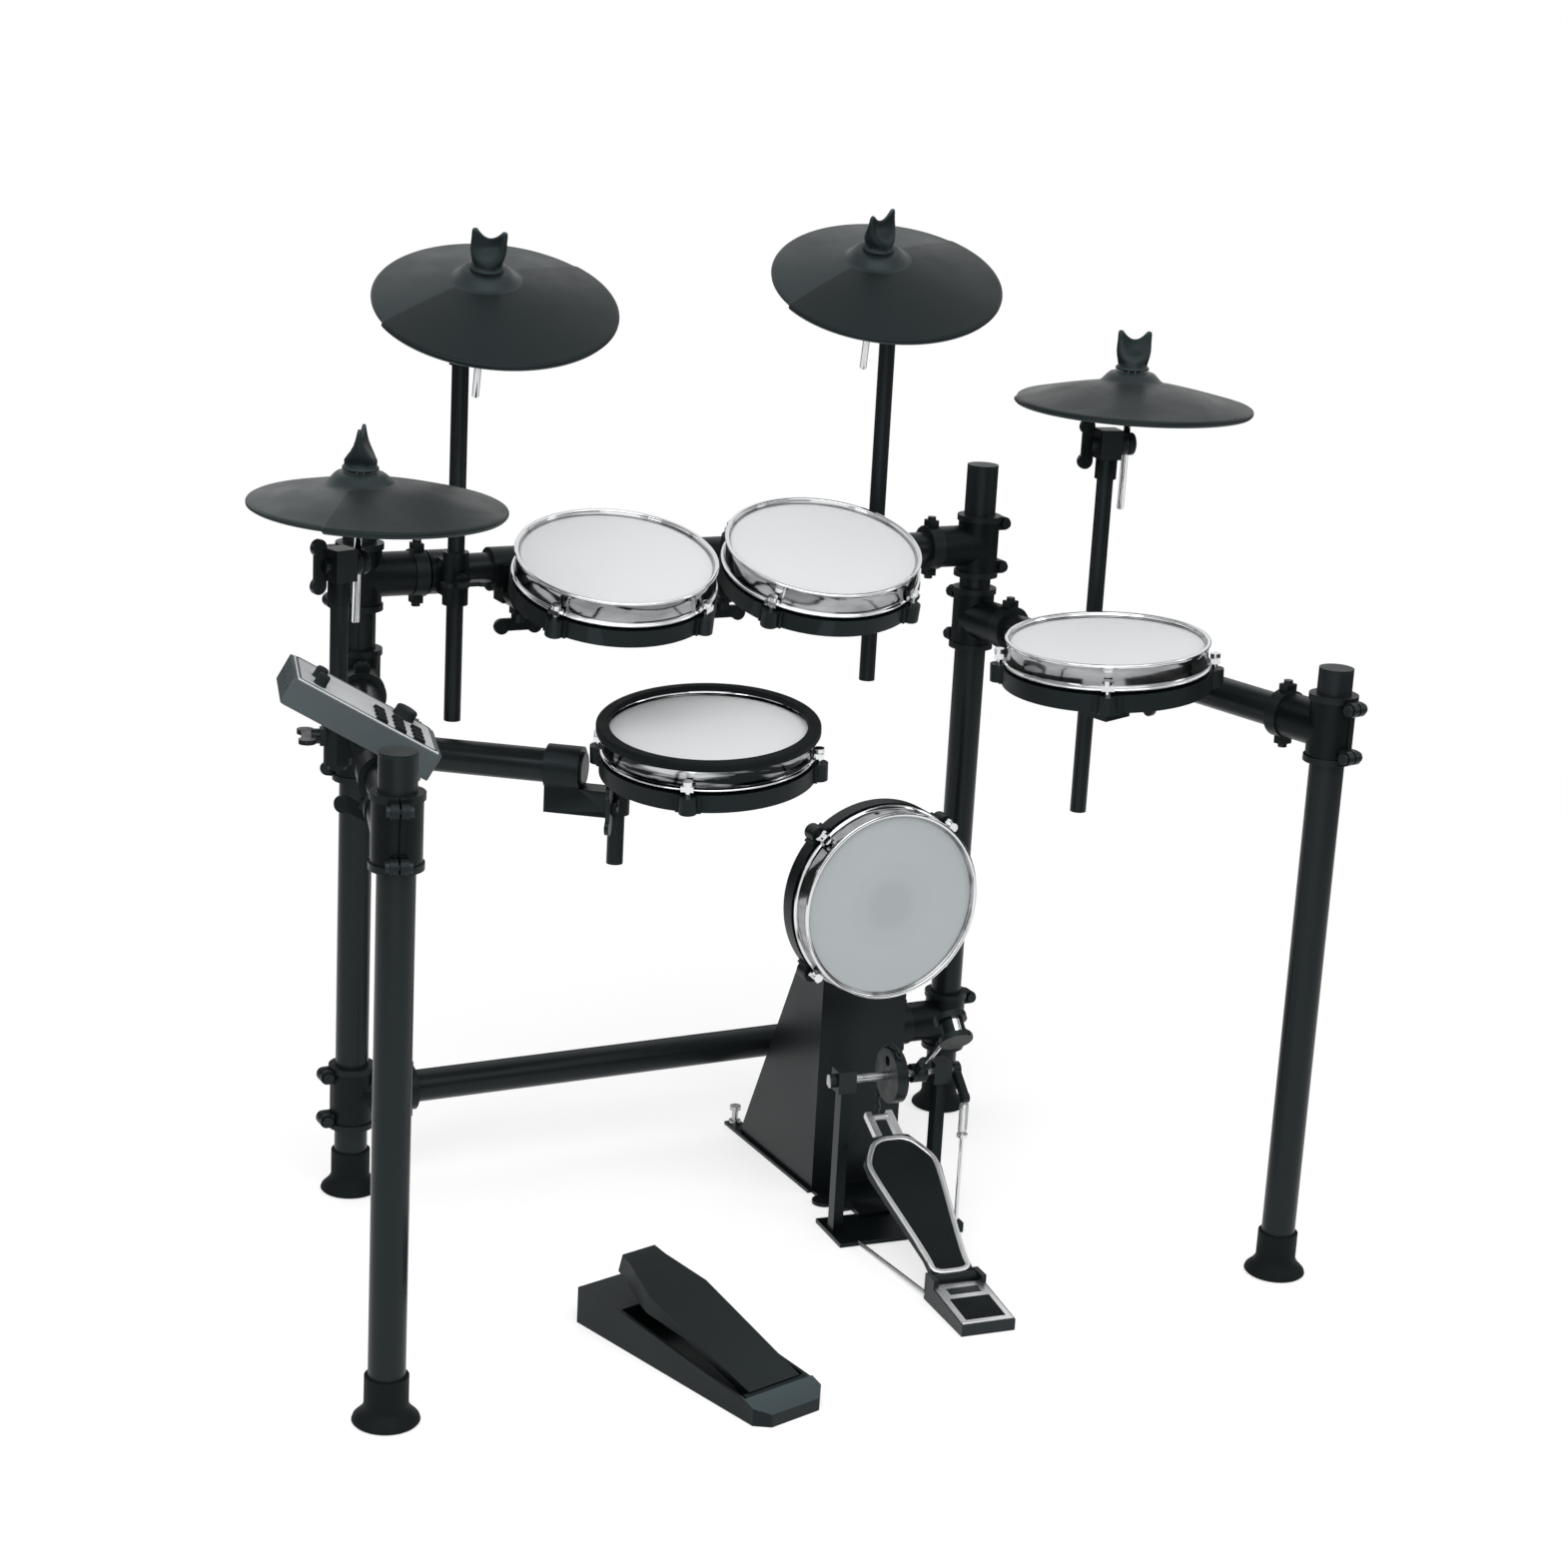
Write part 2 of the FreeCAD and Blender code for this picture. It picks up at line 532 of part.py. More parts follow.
# Drum pads, drawn with the head's top face at zero
def pad(name, radius, lug_turn, pl, boss, rim=False):
    shell_r = radius - HOOP_OVER
    inner = shell_r - SHELL_WALL
    bottom = -SHELL_DEPTH
    shell = cyl(shell_r, (0, 0, bottom), (0, 0, 1), SHELL_DEPTH - HEAD_T)
    lugs = [cyl(radius + TRAY_OVER, (0, 0, bottom), (0, 0, 1), LUG_H)]
    bolt_at = radius + BOLT_OUT
    for k in range(LUGS):
        lug = fuse(block(shell_r - 6, bolt_at, -LUG_W / 2, LUG_W / 2, bottom, bottom + LUG_H),
                   cyl(LUG_REACH, (bolt_at, 0, bottom), (0, 0, 1), LUG_H))
        lug.rotate(V(0, 0, 0), V(0, 0, 1), lug_turn + 360.0 * k / LUGS)
        lugs.append(lug)
    extra = []
    if boss:
        extra.append(block(-BOSS_W / 2, BOSS_W / 2, -BOSS_D / 2, BOSS_D / 2, bottom - BOSS_H, bottom + 1))
    shell = fuse(shell, *lugs, *extra)
    shell = shell.cut(cyl(inner, (0, 0, bottom + SHELL_FLOOR), (0, 0, 1), SHELL_DEPTH))
    if boss:
        shell = shell.cut(cyl(ROD_R + RUN_FIT, (-BOSS_W, 0, -PIVOT_DEPTH), (1, 0, 0), 2 * BOSS_W))
    wall = shell_r + FLESH_W + 0.4
    hoop = revolve([(shell_r + 0.5, 0), (wall, 0), (wall, -HOOP_DEPTH), (radius, -HOOP_DEPTH),
                    (radius, -HOOP_DEPTH + HOOP_T), (wall + HOOP_T, -HOOP_DEPTH + HOOP_T + 1.5),
                    (wall + HOOP_T, HOOP_RISE - 3), (wall + HOOP_T + 2, HOOP_RISE - 1.5),
                    (wall + HOOP_T + 1.5, HOOP_RISE), (wall, HOOP_RISE), (wall - 1, HOOP_RISE - 1.5),
                    (wall - 0.5, HOOP_T), (shell_r + 0.5, HOOP_T)])
    flesh = shell_r + FLESH_W
    head = revolve([(0, -HEAD_T), (shell_r + 0.4, -HEAD_T), (shell_r + 0.4, -FLESH_H - HEAD_T),
                    (flesh, -FLESH_H - HEAD_T), (flesh, 0), (0, 0)])
    rods = []
    claw_z = -HOOP_DEPTH + HOOP_T
    for k in range(LUGS):
        claw = fuse(block(wall + HOOP_T + 2.2, bolt_at + 5, -7, 7, claw_z + 1.6, claw_z + 6),
                    block(radius + FIT, bolt_at + 5, -7, 7, claw_z, claw_z + 6),
                    cyl(BOLT_R, (bolt_at, 0, bottom + 2), (0, 0, 1), claw_z - bottom + 2),
                    cyl(BOLT_HEAD_R, (bolt_at, 0, claw_z + 6), (0, 0, 1), 5.0))
        claw.rotate(V(0, 0, 0), V(0, 0, 1), lug_turn + 360.0 * k / LUGS)
        rods.append(claw)
        hole = cyl(BOLT_R + FIT, (bolt_at, 0, bottom - 1), (0, 0, 1), LUG_H + 2)
        hole.rotate(V(0, 0, 0), V(0, 0, 1), lug_turn + 360.0 * k / LUGS)
        shell = shell.cut(hole)
    reach = inner - 4.0
    bridge = fuse(block(-reach, reach, -BRIDGE_W / 2, BRIDGE_W / 2, -BRIDGE_Z, -BRIDGE_Z + BRIDGE_T),
                  *[block(s * reach - 10 * (s + 1) / 2, s * reach + 10 * (1 - s) / 2, -6, 6,
                          bottom + SHELL_FLOOR, -BRIDGE_Z) for s in (-1, 1)])
    sensor = cyl(SENSOR_R, (0, 0, -BRIDGE_Z + BRIDGE_T), (0, 0, 1), 1.0)
    cone_z = -BRIDGE_Z + BRIDGE_T + 1.0
    cone = Part.makeCone(CONE_R, CONE_TIP, -HEAD_T - cone_z, V(0, 0, cone_z))
    add(name + "_shell", placed(shell, pl))
    add(name + "_hoop", placed(hoop, pl))
    add(name + "_head", placed(head, pl))
    add(name + "_tension_rods", *[placed(r, pl) for r in rods])
    add(name + "_trigger", placed(bridge, pl), placed(sensor, pl), placed(cone, pl))
    if rim:
        out = wall + HOOP_T + 2 + FIT
        bead = revolve([(shell_r - RIM_IN, HOOP_RISE), (shell_r - RIM_IN, HOOP_RISE + RIM_T - 2),
                        (shell_r - RIM_IN + 2, HOOP_RISE + RIM_T), (out + RIM_T - 2, HOOP_RISE + RIM_T),
                        (out + RIM_T, HOOP_RISE + RIM_T - 2), (out + RIM_T, HOOP_RISE - 4),
                        (out, HOOP_RISE - 4), (out, HOOP_RISE)])
        add(name + "_rim", placed(bead, pl))


PAD_PIVOT = {}
PAD_AXIS = {}
TOM_TURN = -11.5
SNARE_RISE = 59.0
SNARE_AT = V(318.0, -250.0, SNARE_ARM_Z + SNARE_RISE)
SNARE_LEG = 300.0
SNARE_FOOT_DROP = 108.0
SNARE_FOOT_Z = SNARE_ARM_Z - SNARE_FOOT_DROP
TOM_THREE_RISE = 71.0
TOM_THREE_IN = 165.0
TOM_THREE_ALONG = 405.0
TOM_RISE = 40.0
TOM_FRONT = 160.0
TOM_ONE_ALONG = 240.0
TOM_TWO_ALONG = 496.0
TOM_CORNER = 70.0
right_in = V(RIGHT_DIR.y, -RIGHT_DIR.x, 0)
tom_three = V(BACK_SPAN, 0, RIGHT_ARM_Z + TOM_THREE_RISE)
tom_three = tom_three + RIGHT_DIR * TOM_THREE_ALONG + right_in * TOM_THREE_IN
TOMS = {
    "tom_left": (V(TOM_ONE_ALONG, -TOM_FRONT, UPPER_BAR_Z + TOM_RISE), TOM_TURN, 16.0, 46.0,
                 V(0, 0, UPPER_BAR_Z), BAR_DIR),
    "tom_middle": (V(TOM_TWO_ALONG, -TOM_FRONT, UPPER_BAR_Z + TOM_RISE), TOM_TURN, 18.0, 48.0,
                   V(0, 0, UPPER_BAR_Z), BAR_DIR),
    "tom_right": (tom_three, heading((0, 0), RIGHT_DIR), 4.0, 47.0,
                  V(BACK_SPAN, 0, RIGHT_ARM_Z), RIGHT_DIR),
}
for name, (centre, turn, tilt, lug_turn, origin, bar) in TOMS.items():
    n = tilt_normal(turn, tilt)
    w = unit(turn)
    pad(name, TOM_R, lug_turn, frame(w, n, centre), True)
    pivot = centre - n * PIVOT_DEPTH
    corner = pivot - w * TOM_CORNER
    rel = corner - origin
    along = rel.dot(bar)
    out = V(bar.y, -bar.x, 0)
    reach = rel.dot(out)
    rise = rel.z
    holder, wing = rod_socket(rise)
    rail = origin + bar * along
    pl = frame(V(-out.y, out.x, 0).negative(), V(0, 0, 1), rail)
    add("tube_clamps", placed(holder, pl))
    add("clamp_screws", placed(wing, pl))
    start = rail + out * SETBACK + V(0, 0, rise)
    leg = corner - start
    run = pivot + w * ROD_PAST - corner
    rod = fuse(cyl(ROD_R, start, leg, leg.Length), Part.makeSphere(ROD_R, corner),
               cyl(ROD_R, corner, run, run.Length))
    add("pad_rods", rod)
    PAD_PIVOT[name] = pivot
    PAD_AXIS[name] = w

# Snare on its upright rod at the end of the short arm
corner = SNARE_DIR * SNARE_LEG + V(0, 0, SNARE_AT.z - PIVOT_DEPTH)
snare_turn = heading(corner, SNARE_AT)
n = tilt_normal(snare_turn, 7.0)
w = unit(snare_turn)
pad("snare", SNARE_R, 6.0, frame(w, n, SNARE_AT), True, True)
pivot = SNARE_AT - n * PIVOT_DEPTH
corner = pivot - w * (pivot - corner).dot(w)
run = pivot + w * ROD_PAST - corner
leg = corner.z - SNARE_FOOT_Z
add("pad_rods", fuse(cyl(ROD_R, (corner.x, corner.y, SNARE_FOOT_Z), (0, 0, 1), leg),
                     Part.makeSphere(ROD_R, corner), cyl(ROD_R, corner, run, run.Length)))
PAD_PIVOT["snare"] = pivot
PAD_AXIS["snare"] = w
local = turned(SNARE_ARM_ANGLE, (0, 0, 0)).inverse().multVec(corner)
sleeve_r = ROD_R + ROD_SLEEVE_WALL
cheek_top = corner.z - ROD_R - 3
cheek_low = cheek_top - 30
holder = fuse(cyl(CLAMP_R, (SNARE_ARM_LENGTH - 40, 0, SNARE_ARM_Z), (1, 0, 0), 40.0),
              cyl(sleeve_r, (local.x, local.y, cheek_low), (0, 0, 1), 30.0),
              block(SNARE_ARM_LENGTH - 40, local.x, -sleeve_r, sleeve_r, cheek_low, cheek_top),
              block(SNARE_ARM_LENGTH - 40, SNARE_ARM_LENGTH, -sleeve_r, sleeve_r, cheek_low, SNARE_ARM_Z))
holder = holder.cut(cyl(TUBE_R + FIT, (0, 0, SNARE_ARM_Z), (1, 0, 0), SNARE_ARM_LENGTH + CAP_FLANGE + 1))
holder = holder.cut(cyl(ROD_R + FIT, (local.x, local.y, cheek_low - 1), (0, 0, 1), 40.0))
seat = V(local.x, min(local.y, 0.0) - sleeve_r, (cheek_low + cheek_top) / 2)
shank = local.y - ROD_R - FIT - seat.y + 4
holder = fuse(holder, block(seat.x - 7, seat.x + 7, seat.y - 4, seat.y + 3, seat.z - 8, seat.z + 8))
holder = holder.cut(cyl(WING_SHANK_R + FIT, (seat.x, seat.y - 5, seat.z), (0, 1, 0), shank + 1))
pl = turned(SNARE_ARM_ANGLE, (0, 0, 0))
add("tube_clamps", placed(holder, pl))
wing = placed(wing_screw(shank), FreeCAD.Placement(
    V(seat.x, seat.y - 4, seat.z), FreeCAD.Rotation(V(0, 0, 1), V(-1, 0, 0), V(0, -1, 0), "ZXY")))
add("clamp_screws", placed(wing, pl))

# Kick pad and its tower
kx, ky, kz = KICK_AT
pad("kick", TOM_R, 45.0, frame(V(1, 0, 0), V(0, -1, 0), KICK_AT), False)
plate_y = ky + SHELL_DEPTH
left = kx - PLATE_W / 2
right = kx + PLATE_W / 2
back = plate_y + PLATE_T
plate = block(left, right, plate_y, back, BASE_T, PLATE_TOP)
pieces = []
for x in (left, right - GUSSET_T):
    pieces.append(prism([(x, back, BASE_T), (x, back + GUSSET_FOOT, BASE_T),
                         (x, back + GUSSET_MID, GUSSET_MID_Z), (x, back, PLATE_TOP)], (GUSSET_T, 0, 0)))
for x in (left - SKID_W / 4, right - 3 * SKID_W / 4):
    pieces.append(block(x, x + SKID_W, plate_y, back + SKID_LEN, 0, BASE_T))
base = block(left, right, plate_y - BASE_FRONT, back, 0, BASE_T)
for x in (left, right):
    pieces.append(cyl(BASE_OUT, (x, plate_y - BASE_FRONT / 2, 0), (0, 0, 1), BASE_T))
tower = fuse(plate, base, *pieces)
for x in (left + SKID_W / 4, right - SKID_W / 4):
    spur_y = back + SKID_LEN - 9
    tower = tower.cut(cyl(SPUR_R + FIT, (x, spur_y, -1), (0, 0, 1), BASE_T + 2))
    spur = fuse(cyl(SPUR_R, (x, spur_y, 0.5), (0, 0, 1), SPUR_H),
                cyl(SPUR_R + 3, (x, spur_y, SPUR_H - 4), (0, 0, 1), 5.0),
                cyl(SPUR_R + 3.5, (x, spur_y, BASE_T), (0, 0, 1), 4.0))
    add("kick_tower", spur)
add("kick_tower", tower)

# Kick pedal in its own frame, with the axle over the origin
PEDAL = turned(PEDAL_YAW, (PEDAL_AT[0], PEDAL_AT[1], 0))
ux = UPRIGHT_X
frame_solids = [block(-ux - 10, ux + 10, -FRAME_FRONT, FRAME_BACK, 0, FRAME_T)]
frame_solids.append(block(-20, 20, FRAME_BACK - 10, FRAME_BACK + 26, BASE_T + 0.4, BASE_T + 6))
for s in (-1, 1):
    x = s * ux
    frame_solids.append(block(x - UPRIGHT_W / 2, x + UPRIGHT_W / 2, -UPRIGHT_D / 2, UPRIGHT_D / 2, 0, AXLE_Z))
    frame_solids.append(block(x - BEARING_W / 2, x + BEARING_W / 2, -BEARING_W / 2, BEARING_W / 2,
                              AXLE_Z - BEARING_H / 2, AXLE_Z + BEARING_H / 2))
heel_y0 = HEEL_Y - HEEL_LEN
lug_in = HEEL_W / 2 - 6
frame_solids.append(prism([(-HEEL_W / 2, heel_y0, 0), (-HEEL_W / 2, HEEL_Y - 9, 0),
                           (-HEEL_W / 2, HEEL_Y - 9, HEEL_H), (-HEEL_W / 2, heel_y0, HEEL_LIP)],
                          (HEEL_W, 0, 0)))
for s in (-1, 1):
    x0 = min(s * lug_in, s * HEEL_W / 2)
    frame_solids.append(block(x0, x0 + 6, HEEL_Y - 16, HEEL_Y + 7, 0, HEEL_Z + 7))
    rod_to = V(s * (ux - 14), -FRAME_FRONT + 2, 3.0)
    rod_from = V(s * (HEEL_W / 2 - 3), HEEL_Y, 6.0)
    d = rod_to - rod_from
    frame_solids.append(cyl(2.5, rod_from, d, d.Length))
tip = V(LEVER_X, -LEVER_BACK, AXLE_Z - LEVER_DOWN)
spring_h = SPRING_TURNS * SPRING_PITCH
spring_top = tip.z - 7.5
spring_low = spring_top - spring_h
frame_solids.append(block(ux, LEVER_X + 7, -LEVER_BACK - 7, -LEVER_BACK + 7, 0, 12))
frame_solids.append(cyl(2.5, (LEVER_X, -LEVER_BACK, 10), (0, 0, 1), spring_low - SPRING_WIRE - 10))
frame_solids.append(cyl(SPRING_R + 1, (LEVER_X, -LEVER_BACK, spring_low - SPRING_WIRE - 5), (0, 0, 1), 4.0))
pedal = fuse(*frame_solids)
pedal = pedal.cut(cyl(AXLE_R + RUN_FIT, (-ux - 40, 0, AXLE_Z), (1, 0, 0), 2 * ux + 80))
pedal = pedal.cut(cyl(SHAFT_R + RUN_FIT, (-HEEL_W, HEEL_Y, HEEL_Z), (1, 0, 0), 2 * HEEL_W))
add("pedal_frame", placed(pedal, PEDAL))
lever_len = math.hypot(LEVER_BACK, LEVER_DOWN)
lever = block(LEVER_X - LEVER_T / 2, LEVER_X + LEVER_T / 2, -lever_len, 0, -5, 5)
lever = fuse(lever, cyl(9.0, (LEVER_X - LEVER_T / 2, 0, 0), (1, 0, 0), LEVER_T),
             cyl(6.0, (LEVER_X - LEVER_T / 2, -lever_len, 0), (1, 0, 0), LEVER_T))
lever.rotate(V(0, 0, 0), V(1, 0, 0), math.degrees(math.atan2(LEVER_DOWN, LEVER_BACK)))
lever.translate(V(0, 0, AXLE_Z))
cam = cyl(CAM_R, (-CAM_W / 2, 0, AXLE_Z), (1, 0, 0), CAM_W)
cam = cam.cut(cyl(6.0, (-CAM_W, 0, AXLE_Z + 18), (1, 0, 0), 2 * CAM_W))
axle_end = -ux - BEARING_W / 2 - 8
axle = fuse(cyl(AXLE_R, (axle_end, 0, AXLE_Z), (1, 0, 0), LEVER_X + LEVER_T / 2 - axle_end),
            cyl(8.0, (axle_end, 0, AXLE_Z), (1, 0, 0), 7.0), lever, cam)
lean = V(0, -math.sin(math.radians(BEATER_LEAN)), math.cos(math.radians(BEATER_LEAN)))
strike = V(0, math.cos(math.radians(BEATER_LEAN)), math.sin(math.radians(BEATER_LEAN)))
socket_at = V(BEATER_X, 0, AXLE_Z)
axle = fuse(axle, cyl(11.0, (BEATER_X - 9, 0, AXLE_Z), (1, 0, 0), 18.0), cyl(8.0, socket_at, lean, 26.0))
axle = axle.cut(cyl(BEATER_ROD_R + FIT, socket_at + lean * 10, lean, 30.0))
add("pedal_axle", placed(axle, PEDAL))
ball_at = socket_at + lean * BEATER_LEN
beater = [cyl(BEATER_ROD_R, socket_at + lean * 10.5, lean, BEATER_LEN - 10),
          cyl(BEATER_R - 5, ball_at - strike * (BEATER_W / 2), strike, BEATER_W),
          cyl(BEATER_R, ball_at - strike * (BEATER_W / 2), strike, 7.0),
          cyl(BEATER_R, ball_at + strike * (BEATER_W / 2 - 7), strike, 7.0)]
add("pedal_beater", placed(fuse(*beater), PEDAL))
toe_y = CAM_R + CHAIN_T / 2 + CHAIN_GAP
run = (toe_y - HEEL_Y) / math.cos(math.radians(BOARD_RISE))
wh, wm, wt = [w / 2 for w in BOARD_W]
neck = run - PRONG_LEN
half = [(wh, 4), (wh, 0.12 * run), (wm, neck - 55), (wm - 1, neck - 35), (wt + 6, neck - 2), (wt, neck),
        (wt, run - 2)]
outline = half + [(-x, y) for x, y in reversed(half)]
board = prism([(x, y, -BOARD_T / 2) for x, y in outline], (0, 0, BOARD_T))
board = board.cut(block(-PRONG_GAP / 2, PRONG_GAP / 2, neck, run + 2, -BOARD_T, BOARD_T))
barrel = cyl(6.0, (-lug_in + BODY_GAP, 0, 0), (1, 0, 0), 2 * lug_in - 2 * BODY_GAP)
pin = cyl(SHAFT_R, (-HEEL_W / 2, 0, 0), (1, 0, 0), HEEL_W)
board = fuse(board, barrel, pin, cyl(CHAIN_PIN_R, (-14, run - 8, 0), (1, 0, 0), 28.0))
board.rotate(V(0, 0, 0), V(1, 0, 0), BOARD_RISE)
board.translate(V(0, HEEL_Y, HEEL_Z))
add("pedal_footboard", placed(board, PEDAL))
toe = V(0, HEEL_Y, HEEL_Z) + FreeCAD.Rotation(V(1, 0, 0), BOARD_RISE).multVec(V(0, run - 8, 0))
chain = block(-CHAIN_W / 2, CHAIN_W / 2, toe_y - CHAIN_T / 2, toe_y + CHAIN_T / 2,
              toe.z - 2, AXLE_Z + CHAIN_OVER)
chain = fuse(chain, block(-CHAIN_W / 2, CHAIN_W / 2, toe.y - 7, toe_y + CHAIN_T / 2, toe.z - 6, toe.z + 6))
chain = chain.cut(cyl(CHAIN_PIN_R + RUN_FIT, (-20, toe.y, toe.z), (1, 0, 0), 40.0))
add("pedal_chain", placed(chain, PEDAL))
CHAIN_AT = PEDAL.multVec(toe)


def biarc(p0, t0, p1, t1):
    v = p1 - p0
    t = t0 + t1
    k = 2 * (1 - t0.dot(t1))
    d = (-v.dot(t) + math.sqrt(v.dot(t) ** 2 + k * v.dot(v))) / k
    m = (p0 + p1 + (t0 - t1) * d) * 0.5
    return [tangent_arc(p0, t0, m), tangent_arc(p1, t1.negative(), m)]


def tangent_arc(p, t, q):
    chord = q - p
    side = chord - t * chord.dot(t)
    side.normalize()
    radius = chord.dot(chord) / (2 * chord.dot(side))
    centre = p + side * radius
    mid = (p - centre) + (q - centre)
    mid.normalize()
    return p, centre + mid * radius, q


def coil(at, r, pitch, turns, wire):
    pts = []
    steps = 4 * turns
    for k in range(steps + 1):
        a = math.pi / 2 * k
        p = at + V(r * math.cos(a), r * math.sin(a), pitch * k / 4)
        t = V(-r * math.sin(a), r * math.cos(a), pitch / (2 * math.pi))
        t.normalize()
        pts.append((p, t))
    edges = []
    for (p0, t0), (p1, t1) in zip(pts, pts[1:]):
        first, second = biarc(p0, t0, p1, t1)
        edges.append(Part.Arc(*first).toShape())
        edges.append(Part.Arc(second[2], second[1], second[0]).toShape())
    p0, t0 = pts[0]
    p1, t1 = pts[-1]
    edges.insert(0, Part.LineSegment(p0 - t0 * wire, p0).toShape())
    edges.append(Part.LineSegment(p1, p1 + t1 * wire).toShape())
    ring = Part.Wire([Part.Circle(p0 - t0 * wire, t0, wire / 2).toShape()])
    near = [math.hypot(2 * r * math.sin(math.radians(s) / 2), pitch * s / 360) for s in range(270, 361, 5)]
    gap = min(near) - wire
    print("spring: least gap to itself %.2f mm over %d turns" % (gap, turns))
    return Part.Wire(edges).makePipeShell([ring], True, False)


add("pedal_spring", placed(coil(V(LEVER_X, -LEVER_BACK, spring_low), SPRING_R - SPRING_WIRE / 2, SPRING_PITCH,
                                SPRING_TURNS, SPRING_WIRE), PEDAL))

# Hi-hat control pedal, drawn from its heel along +Y
HATP = turned(HAT_PEDAL_YAW, (HAT_PEDAL_AT[0], HAT_PEDAL_AT[1], 0))
hw = HAT_W / 2
hinge = V(0, HAT_HEEL_LEN + 6, HAT_HEEL_H - 6)
plan = prism([(-hw, HAT_NOSE, 0), (-hw + HAT_NOSE, 0, 0), (hw - HAT_NOSE, 0, 0), (hw, HAT_NOSE, 0),
              (hw, HAT_LEN, 0), (-hw, HAT_LEN, 0)], (0, 0, HAT_BACK_H))
base = [block(-hw, hw, 0, HAT_LEN, 0, HAT_FLOOR),
        prism([(-hw, 0, HAT_FLOOR - 2), (-hw, HAT_HEEL_LEN, HAT_FLOOR - 2),
               (-hw, HAT_HEEL_LEN, HAT_HEEL_H + 2), (-hw, 0, HAT_HEEL_H - 8)], (HAT_W, 0, 0)),
        block(-hw, hw, HAT_LEN - HAT_DECK, HAT_LEN, 0, HAT_BACK_H)]
slope = (HAT_BACK_H - HAT_HEEL_H) / (HAT_LEN - HAT_DECK - HAT_HEEL_LEN)
for s in (-1, 1):
    x0 = min(s * hw, s * (hw - HAT_WALL))
    base.append(prism([(x0, HAT_HEEL_LEN - 2, 0), (x0, HAT_LEN - HAT_DECK, 0),
                       (x0, HAT_LEN - HAT_DECK, HAT_BACK_H),
                       (x0, HAT_HEEL_LEN - 2, HAT_HEEL_H - 2 * slope)], (HAT_WALL, 0, 0)))
base = fuse(*base).common(plan)
base = base.cut(cyl(HAT_PIN_R + RUN_FIT, (-hw - 1, hinge.y, hinge.z), (1, 0, 0), HAT_W + 2))
base = base.cut(cyl(9.0, (-hw + HAT_WALL, hinge.y, hinge.z), (1, 0, 0), HAT_W - 2 * HAT_WALL))
add("hihat_pedal_base", placed(base, HATP))
bw = hw - HAT_WALL - 1
ln = HAT_BOARD_LEN
w0, w1, w2, w3 = [w / 2 for w in HAT_BOARD_W]
outline = [(-w0, 3), (w0, 3), (w1, 0.70 * ln), (w2, 0.93 * ln), (w3, ln),
           (-w3, ln), (-w2, 0.93 * ln), (-w1, 0.70 * ln)]
board = prism([(x, y, HAT_BOARD_T - HAT_TOE_T) for x, y in outline], (0, 0, HAT_TOE_T))
wedge = prism([(-hw, 0, 0), (-hw, 0.45 * ln, 0), (-hw, 0.75 * ln, HAT_BOARD_T - HAT_TOE_T),
               (-hw, ln + 1, HAT_BOARD_T - HAT_TOE_T), (-hw, ln + 1, HAT_BOARD_T),
               (-hw, 0, HAT_BOARD_T)], (HAT_W, 0, 0))
board = board.common(wedge)
barrel = cyl(8.0, (-bw, 0, 0), (1, 0, 0), 2 * bw)
pin = cyl(HAT_PIN_R, (-hw, 0, 0), (1, 0, 0), HAT_W)
board = fuse(board, barrel, pin)
board.rotate(V(0, 0, 0), V(1, 0, 0), HAT_RISE)
board.translate(hinge)
add("hihat_pedal_board", placed(board, HATP))

# Sound module on the left arm: x down the slope, y along the arm, z out of the panel
mod_mid = MOD_NEAR - MOD_LEN / 2
arm_point = LEFT_DIR * mod_mid + V(0, 0, LEFT_ARM_Z)
arm_y = LEFT_DIR.negative()
level_x = V(arm_y.y, -arm_y.x, 0)
tilt_rot = FreeCAD.Rotation(arm_y, MOD_TILT)
MOD = frame(tilt_rot.multVec(level_x), tilt_rot.multVec(V(0, 0, 1)), arm_point)
x0 = MOD_SIDE - MOD_W / 2
x1 = MOD_SIDE + MOD_W / 2
y0 = -MOD_LEN / 2
y1 = MOD_LEN / 2
z0 = MOD_LIFT
z1 = MOD_LIFT + MOD_T
case = block(x0, x1, y0, y1, z0, z1)
case = case.makeFillet(5.0, [e for e in case.Edges if abs(e.Vertexes[0].Z - e.Vertexes[1].Z) > 1])
panel = block(x0 + PANEL_EDGE, x1 - PANEL_EDGE, y0 + PANEL_EDGE, y1 - PANEL_EDGE, z1, z1 + PANEL_T)
face = z1 + PANEL_T
DIAL_AT = (x1 - 38, y1 - 22)
KNOBS = {"module_knob_left": (x0 + 28, y0 + 24), "module_knob_right": (x0 + 28, y0 + 52)}
MOD_AXIS = MOD.Rotation.multVec(V(0, 0, 1))
TURN_AT = {}


def control(name, at, r, h):
    global case, panel
    body = fuse(cyl(r, (at[0], at[1], face + BODY_GAP), (0, 0, 1), h),
                cyl(SHAFT_R, (at[0], at[1], face - SHAFT_IN), (0, 0, 1), SHAFT_IN + 1))
    mark = block(at[0] - 0.8, at[0] + 0.8, at[1] + r * 0.3, at[1] + r + 1, face + h - 1.5, face + h + 2)
    hole = cyl(SHAFT_R + RUN_FIT, (at[0], at[1], face - SHAFT_IN - 1), (0, 0, 1), SHAFT_IN + 2)
    case = case.cut(hole)
    panel = panel.cut(hole)
    add(name, placed(body.cut(mark), MOD))
    TURN_AT[name] = MOD.multVec(V(at[0], at[1], face))


